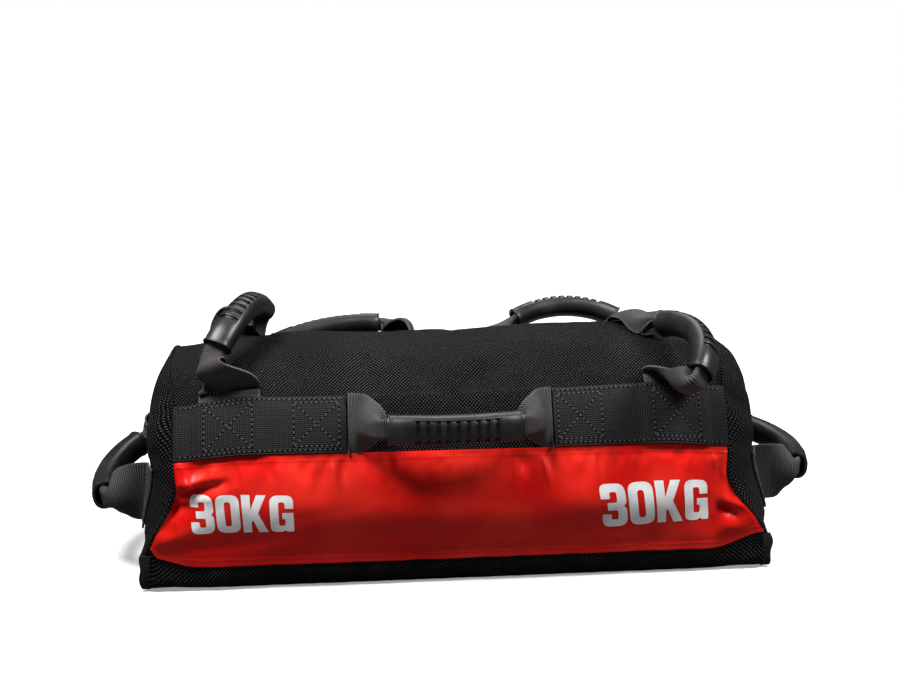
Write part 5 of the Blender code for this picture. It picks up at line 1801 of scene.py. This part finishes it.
# %% Ridges and bindings
def ridge(name, side, arc_low, arc_high):
    """The turned seam between an end panel and the others."""
    def place(u, v):
        arc = arc_low + (arc_high - arc_low) * u
        around = skin_round(side, arc)
        around /= np.linalg.norm(around, axis=1, keepdims=True)
        away = skin_out(side, arc)
        along = np.abs(np.cross(around, away)[:, :1]) * np.array((1.0, 0.0, 0.0))
        angle = v * math.tau
        radius = 0.0017 * (1.0 + 0.16 * np.sin(arc * 140.0 + side) * np.sin(arc * 61.0))
        radius = radius * smooth(0.0, 0.02, u) * smooth(1.0, 0.98, u) + 0.0002
        return (bag(side, arc) + away * (radius * np.sin(angle) - 0.0006)[:, None]
                - along * (radius * np.cos(angle) - 0.0003 * side)[:, None])

    piece = cloth_grid(name, (200, 12), place, (arc_high - arc_low, 0.012))
    edit_all(piece, bpy.ops.mesh.remove_doubles, threshold=0.00002)
    edit_all(piece, bpy.ops.mesh.normals_make_consistent, inside=False)
    return finish_piece(piece, canvas, "bag")


FIN = 0.0050
FIN_LAP = 0.003
FOLD_START, FOLD_STOP = 0.45, 0.57


def binding(name, side, arc_low, arc_high):
    """A folded tape over the fin at a bottom corner."""
    lap = 1.0 - FIN_LAP / LOWER_HALF_LENGTH

    def place(u, v):
        arc = arc_low + (arc_high - arc_low) * v
        turn = np.clip((u - FOLD_START) / (FOLD_STOP - FOLD_START), 0.0, 1.0) * math.pi
        near = np.clip(u / FOLD_START, 0.0, 1.0)
        back = np.clip((u - FOLD_STOP) / (1.0 - FOLD_STOP), 0.0, 1.0)
        share = lap + (1.0 - lap) * near
        out = 0.0012 * np.cos(turn) + 0.0006
        place = skin(side * np.minimum(share, 1.0), arc) + skin_out(side, arc) * out[:, None]
        wave = 0.0008 * np.sin(v * 9.0 + side)
        place[:, 0] += side * ((FIN + wave) * near ** 2 + 0.0012 * np.sin(turn)
                               - 0.006 * back)
        place[:, 2] = np.maximum(place[:, 2], 0.0004)
        return place

    piece = cloth_grid(name + "_tape", (26, 26), place, (0.022, arc_high - arc_low))
    if side < 0:
        edit_all(piece, bpy.ops.mesh.flip_normals)
    apply_modifier(piece, "SOLIDIFY", thickness=0.0009, offset=0.0)
    return finish_piece(piece, binding_tape, "bag", (name,))


for side_name, side in SIDES:
    ridge("end_seam_" + side_name, side, FRONT_SEAM + 0.012, REAR_SEAM - 0.010)
    binding("corner_binding_front_" + side_name, side, 0.130, 0.166)
    binding("corner_binding_rear_" + side_name, side, REAR_SEAM - 0.0125, PERIMETER - 0.126)
print("bindings and ridges laid:", len(made))

# %% [markdown]
# ## The zip
# A zip is two woven tapes and a row of moulded teeth that mesh by half a pitch. One tooth is a
# small block with a bevel, and it is copied along the chain by its points, as the stitches
# are. The slider and its pull keep their CAD shape, with a bevel and a metal finish.

# %% Zip
ZIP_RUN = 0.186
TOOTH_PITCH = 0.0025
TOOTH_ROW = 0.0011
clear()
bpy.ops.mesh.primitive_cube_add(size=1.0)
tooth = bpy.context.object
move_points(tooth, points_of(tooth) * (0.0013, 0.0034, 0.0020))
TOOTH = take_form(apply_modifier(tooth, "BEVEL", width=0.0003, segments=1))


def zip_tape(name, arc_low, arc_high):
    """One woven tape beside the teeth."""
    def place(u, v):
        x = -ZIP_RUN + 2.0 * ZIP_RUN * u
        arc = arc_low + (arc_high - arc_low) * v
        return bag(share_at(x, arc), arc, -0.0008)

    piece = cloth_grid(name + "_weave", (180, 8), place, (2.0 * ZIP_RUN, arc_high - arc_low),
                       0.0008)
    return finish_piece(piece, zip_cloth, "bag", (name,))


def zip_teeth():
    """Both rows of teeth, half a pitch apart."""
    spots = []
    for row, arc_side in ((0, -TOOTH_ROW), (1, TOOTH_ROW)):
        count = int(2 * ZIP_RUN / TOOTH_PITCH)
        x = -ZIP_RUN + 0.001 + row * TOOTH_PITCH / 2 + np.arange(count) * TOOTH_PITCH
        arc = ZIP_ARC + arc_side + 0.0 * x
        share = share_at(x, arc)
        away = skin_out(share, arc)
        for spot, out in zip(bag(share, arc, -0.0006), away):
            spots.append((spot, (1.0, 0.0, 0.0), np.cross(out, (1.0, 0.0, 0.0)), out))
    piece = repeat_form("zip_chain_teeth", TOOTH, spots)
    edit_all(piece, bpy.ops.mesh.normals_make_consistent, inside=False)
    return finish_piece(piece, teeth, "bag", ("zip_chain",))


zip_tape("zip_tape_upper", ZIP_ARC - 0.0127, ZIP_ARC - 0.0030)
zip_tape("zip_tape_lower", ZIP_ARC + 0.0030, ZIP_ARC + 0.0127)
print("zip teeth:", len(zip_teeth().data.polygons), "faces")
sew("zip_stitches", [run_on_bag(-ZIP_RUN, arc, ZIP_RUN, arc, on_red, 100)
                     for arc in (ZIP_ARC - 0.0165, ZIP_ARC + 0.0165)],
    black_thread, "black_canvas")
for node_name in ("zip_slider", "zip_pull_tab", "zip_stop_left", "zip_stop_right"):
    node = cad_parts[node_name]
    node.data.materials.clear()
    node.data.materials.append(metal)
    round_off = node.modifiers.new("Bevel", "BEVEL")
    round_off.width = 0.0003
    round_off.segments = 2
    round_off.limit_method = "ANGLE"
print("slider and stops finished")

# %% [markdown]
# ## The sand fillers
# Inside stand three liner sacks of dry sand. Each starts as a cylinder that is cut into rings;
# the rings follow the bag's own section, less some room, and draw in to a flat neck that a
# hook strip closes. They can't be seen while the zip is shut, so they stay simple.

# %% Fill the bag
RING_HEIGHTS = (0.0, 0.05, 0.18, 0.38, 0.60, 0.78, 0.90)
RING_SPREADS = (0.88, 0.955, 1.0, 1.0, 0.99, 0.93, 0.66)
SAND_LOW, SAND_HIGH = 0.0031, 0.2005
LINER_LOW, LINER_WALL = 0.0019, 0.0012
NECK_HEIGHTS = (0.2035, 0.2065, 0.2095)
NECK_HALF_LENGTH, NECK_HALF_DEPTH = 0.0559, 0.0051
SACK_CLEARANCE = 0.0085
SACK_GAP = 0.0027
STRIP_SIZE = (0.1094, 0.0078, 0.008)
FILLER_HALF = (BAND_HALF_LENGTH - 0.0235) / 3


def section_span(height):
    """How far forward and back the bag's section reaches at a height."""
    above = OUTLINE[np.abs(OUTLINE[:, 1] - height) < 0.006]
    return float(above[:, 0].min()), float(above[:, 0].max())


def sack(name, middle_x, rows, grow, base, neck=()):
    """A sack as rings from its floor up, closed below and above."""
    clear()
    bpy.ops.mesh.primitive_cylinder_add(vertices=44, radius=1.0, depth=1.0,
                                        end_fill_type="NGON", location=(0.0, 0.0, 0.5))
    piece = bpy.context.object
    bpy.ops.object.transform_apply(location=True, rotation=False, scale=False)
    piece.name = name
    bpy.ops.object.mode_set(mode="EDIT")
    cut_across((0.0, 0.0, 1.0), [row / rows for row in range(1, rows)])
    bpy.ops.object.mode_set(mode="OBJECT")
    points = points_of(piece)
    body = 1.0 - len(neck) / rows
    for point in points:
        angle = math.atan2(point[1], point[0])
        wide, deep = (math.copysign(abs(wave) ** 0.6, wave) for wave in
                      (math.cos(angle), math.sin(angle)))
        ring = round(point[2] * rows)
        share = min(1.0, point[2] / body) * RING_HEIGHTS[-1]
        if ring > rows - len(neck):
            half_x, half_y, height = neck[ring - rows + len(neck) - 1]
            point[:] = (middle_x + half_x * wide, half_y * deep, height)
            continue
        height = SAND_LOW + (SAND_HIGH - SAND_LOW) * share
        spread = float(np.interp(share, RING_HEIGHTS, RING_SPREADS))
        front, rear = section_span(height)
        front = (front + SACK_CLEARANCE) * spread - grow
        rear = (rear - SACK_CLEARANCE) * spread + grow
        soft = 1.0 + 0.012 * math.sin(7.0 * share + 3.0 * angle + middle_x * 40.0)
        point[:] = (middle_x + (FILLER_HALF * spread + grow) * wide * min(1.0, soft),
                    (front + rear) / 2 + (rear - front) / 2 * deep * min(1.0, soft),
                    max(height, base) if ring else base)
    move_points(piece, points)
    return piece


for index in range(3):
    filler = "filler_" + str(index + 1)
    middle_x = (index - 1) * (2.0 * FILLER_HALF + SACK_GAP)
    sand_piece = sack(filler + "_sand_heap", middle_x, 14, 0.0, SAND_LOW)
    finish_piece(sand_piece, sand_grain, "bag", (filler + "_sand",))
    liner = sack(filler + "_liner_sack", middle_x, 17, LINER_WALL, LINER_LOW,
                 [(NECK_HALF_LENGTH, NECK_HALF_DEPTH, height) for height in NECK_HEIGHTS])
    finish_piece(liner, liner_cloth, "bag", (filler + "_liner",))
    clear()
    bpy.ops.mesh.primitive_cube_add(size=1.0)
    strip = bpy.context.object
    strip.name = filler + "_closure_strip"
    move_points(strip, points_of(strip) * STRIP_SIZE + (middle_x, 0.0, NECK_HEIGHTS[1]))
    apply_modifier(strip, "BEVEL", width=0.0008, segments=2)
    finish_piece(strip, hook_tape, "bag", (filler + "_closure",))
print("fillers made; pieces:", len(made))

# %% [markdown]
# ## Floor, light and camera
# The picture has a plain white ground. The floor looks pale and keeps the bag's soft shadow, but
# it sends little light back up, and the world is white to the camera and a modest light. The
# studio in the photo is dark, so reflections stay dark too, and the black cloth keeps its depth.
# Three soft lamps stand where the photo's highlights are.

# %% Studio
FLOOR_SHOWN, FLOOR_BOUNCE = 0.80, 0.10
GLOW_LEAST, GLOW_RISE = 0.30, 0.66
GLOW_START, GLOW_STOP = 0.35, 1.6
WORLD_LIGHT = 0.10
LAMPS = {
    # place, aim, size in metres, power in watts
    "key": ((-0.70, -0.48, 1.60), (-0.05, 0.0, 0.1), 0.60, 46.0),
    "side": ((1.00, -0.45, 1.35), (0.10, 0.0, 0.1), 0.60, 32.0),
    "top": ((0.2, 0.8, 1.5), (0.0, 0.0, 0.1), 0.8, 8.0),
}


def make_floor():
    """A pale floor that catches the shadow and glows to white further out."""
    clear()
    bpy.ops.mesh.primitive_plane_add(size=12.0, location=(0.0, 2.0, 0.0))
    floor = bpy.context.object
    bpy.ops.object.transform_apply(location=True, rotation=False, scale=False)
    floor.name = "floor"
    material, tree, shader, place = start_material("Pale floor", 0.9)
    shader.inputs["Emission Color"].default_value = (1.0, 1.0, 1.0, 1.0)
    rays = tree.nodes.new("ShaderNodeLightPath")
    paint(tree, shader, rays.outputs["Is Camera Ray"], grey(FLOOR_BOUNCE), grey(FLOOR_SHOWN))
    far = tree.nodes.new("ShaderNodeVectorMath")
    far.operation = "LENGTH"
    tree.links.new(place.outputs["Object"], far.inputs[0])
    outwards = ramp(tree, far.outputs["Value"], GLOW_START, GLOW_STOP)
    glow = math_node(tree, "MULTIPLY_ADD", outwards, GLOW_RISE, GLOW_LEAST)
    tree.links.new(math_node(tree, "MULTIPLY", rays.outputs["Is Camera Ray"], glow),
                   shader.inputs["Emission Strength"])
    floor.data.materials.append(material)
    floor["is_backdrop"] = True
    return floor


def make_world():
    """White to the camera, also through glass, and a modest light on the object."""
    world = bpy.data.worlds.new("Studio")
    bpy.context.scene.world = world
    world.use_nodes = True
    tree = world.node_tree
    background = tree.nodes["Background"]
    background.inputs["Color"].default_value = (1.0, 1.0, 1.0, 1.0)
    rays = tree.nodes.new("ShaderNodeLightPath")
    seen = math_node(tree, "MAXIMUM", rays.outputs["Is Camera Ray"],
                     rays.outputs["Is Transmission Ray"])
    tree.links.new(math_node(tree, "MULTIPLY_ADD", seen, 1.0 - WORLD_LIGHT, WORLD_LIGHT),
                   background.inputs["Strength"])


def lamp(name, place, aim, size, power):
    """A round soft lamp that points at a place."""
    light = bpy.data.lights.new(name, "AREA")
    light.shape = "DISK"
    light.size = size
    light.energy = power
    holder = bpy.data.objects.new(name, light)
    holder.location = place
    holder.rotation_euler = (Vector(aim) - Vector(place)).to_track_quat("-Z", "Y").to_euler()
    bpy.context.scene.collection.objects.link(holder)


make_floor()
make_world()
for lamp_name, setting in LAMPS.items():
    lamp(lamp_name, *setting)
bpy.context.scene.view_settings.view_transform = "Standard"
print("lamps:", len(bpy.data.lights))

# %% Camera
CAMERA_PLACE = (-0.136, -1.262, 0.418)
CAMERA_DIP, CAMERA_TURN = 9.14, -6.5
sight = bpy.data.cameras.new("photo_camera")
sight.sensor_width = 36.0
sight.lens = 49.96
camera = bpy.data.objects.new("photo_camera", sight)
camera.location = CAMERA_PLACE
camera.rotation_euler = (math.radians(90 - CAMERA_DIP), 0.0, math.radians(CAMERA_TURN))
bpy.context.scene.collection.objects.link(camera)
bpy.context.scene.camera = camera
print("lens:", sight.lens, "mm")

# %% Sizes and the end
low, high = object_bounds()
print("pieces:", len(made), "triangles:", sum(
    sum(len(face.vertices) - 2 for face in piece.data.polygons) for piece in made))
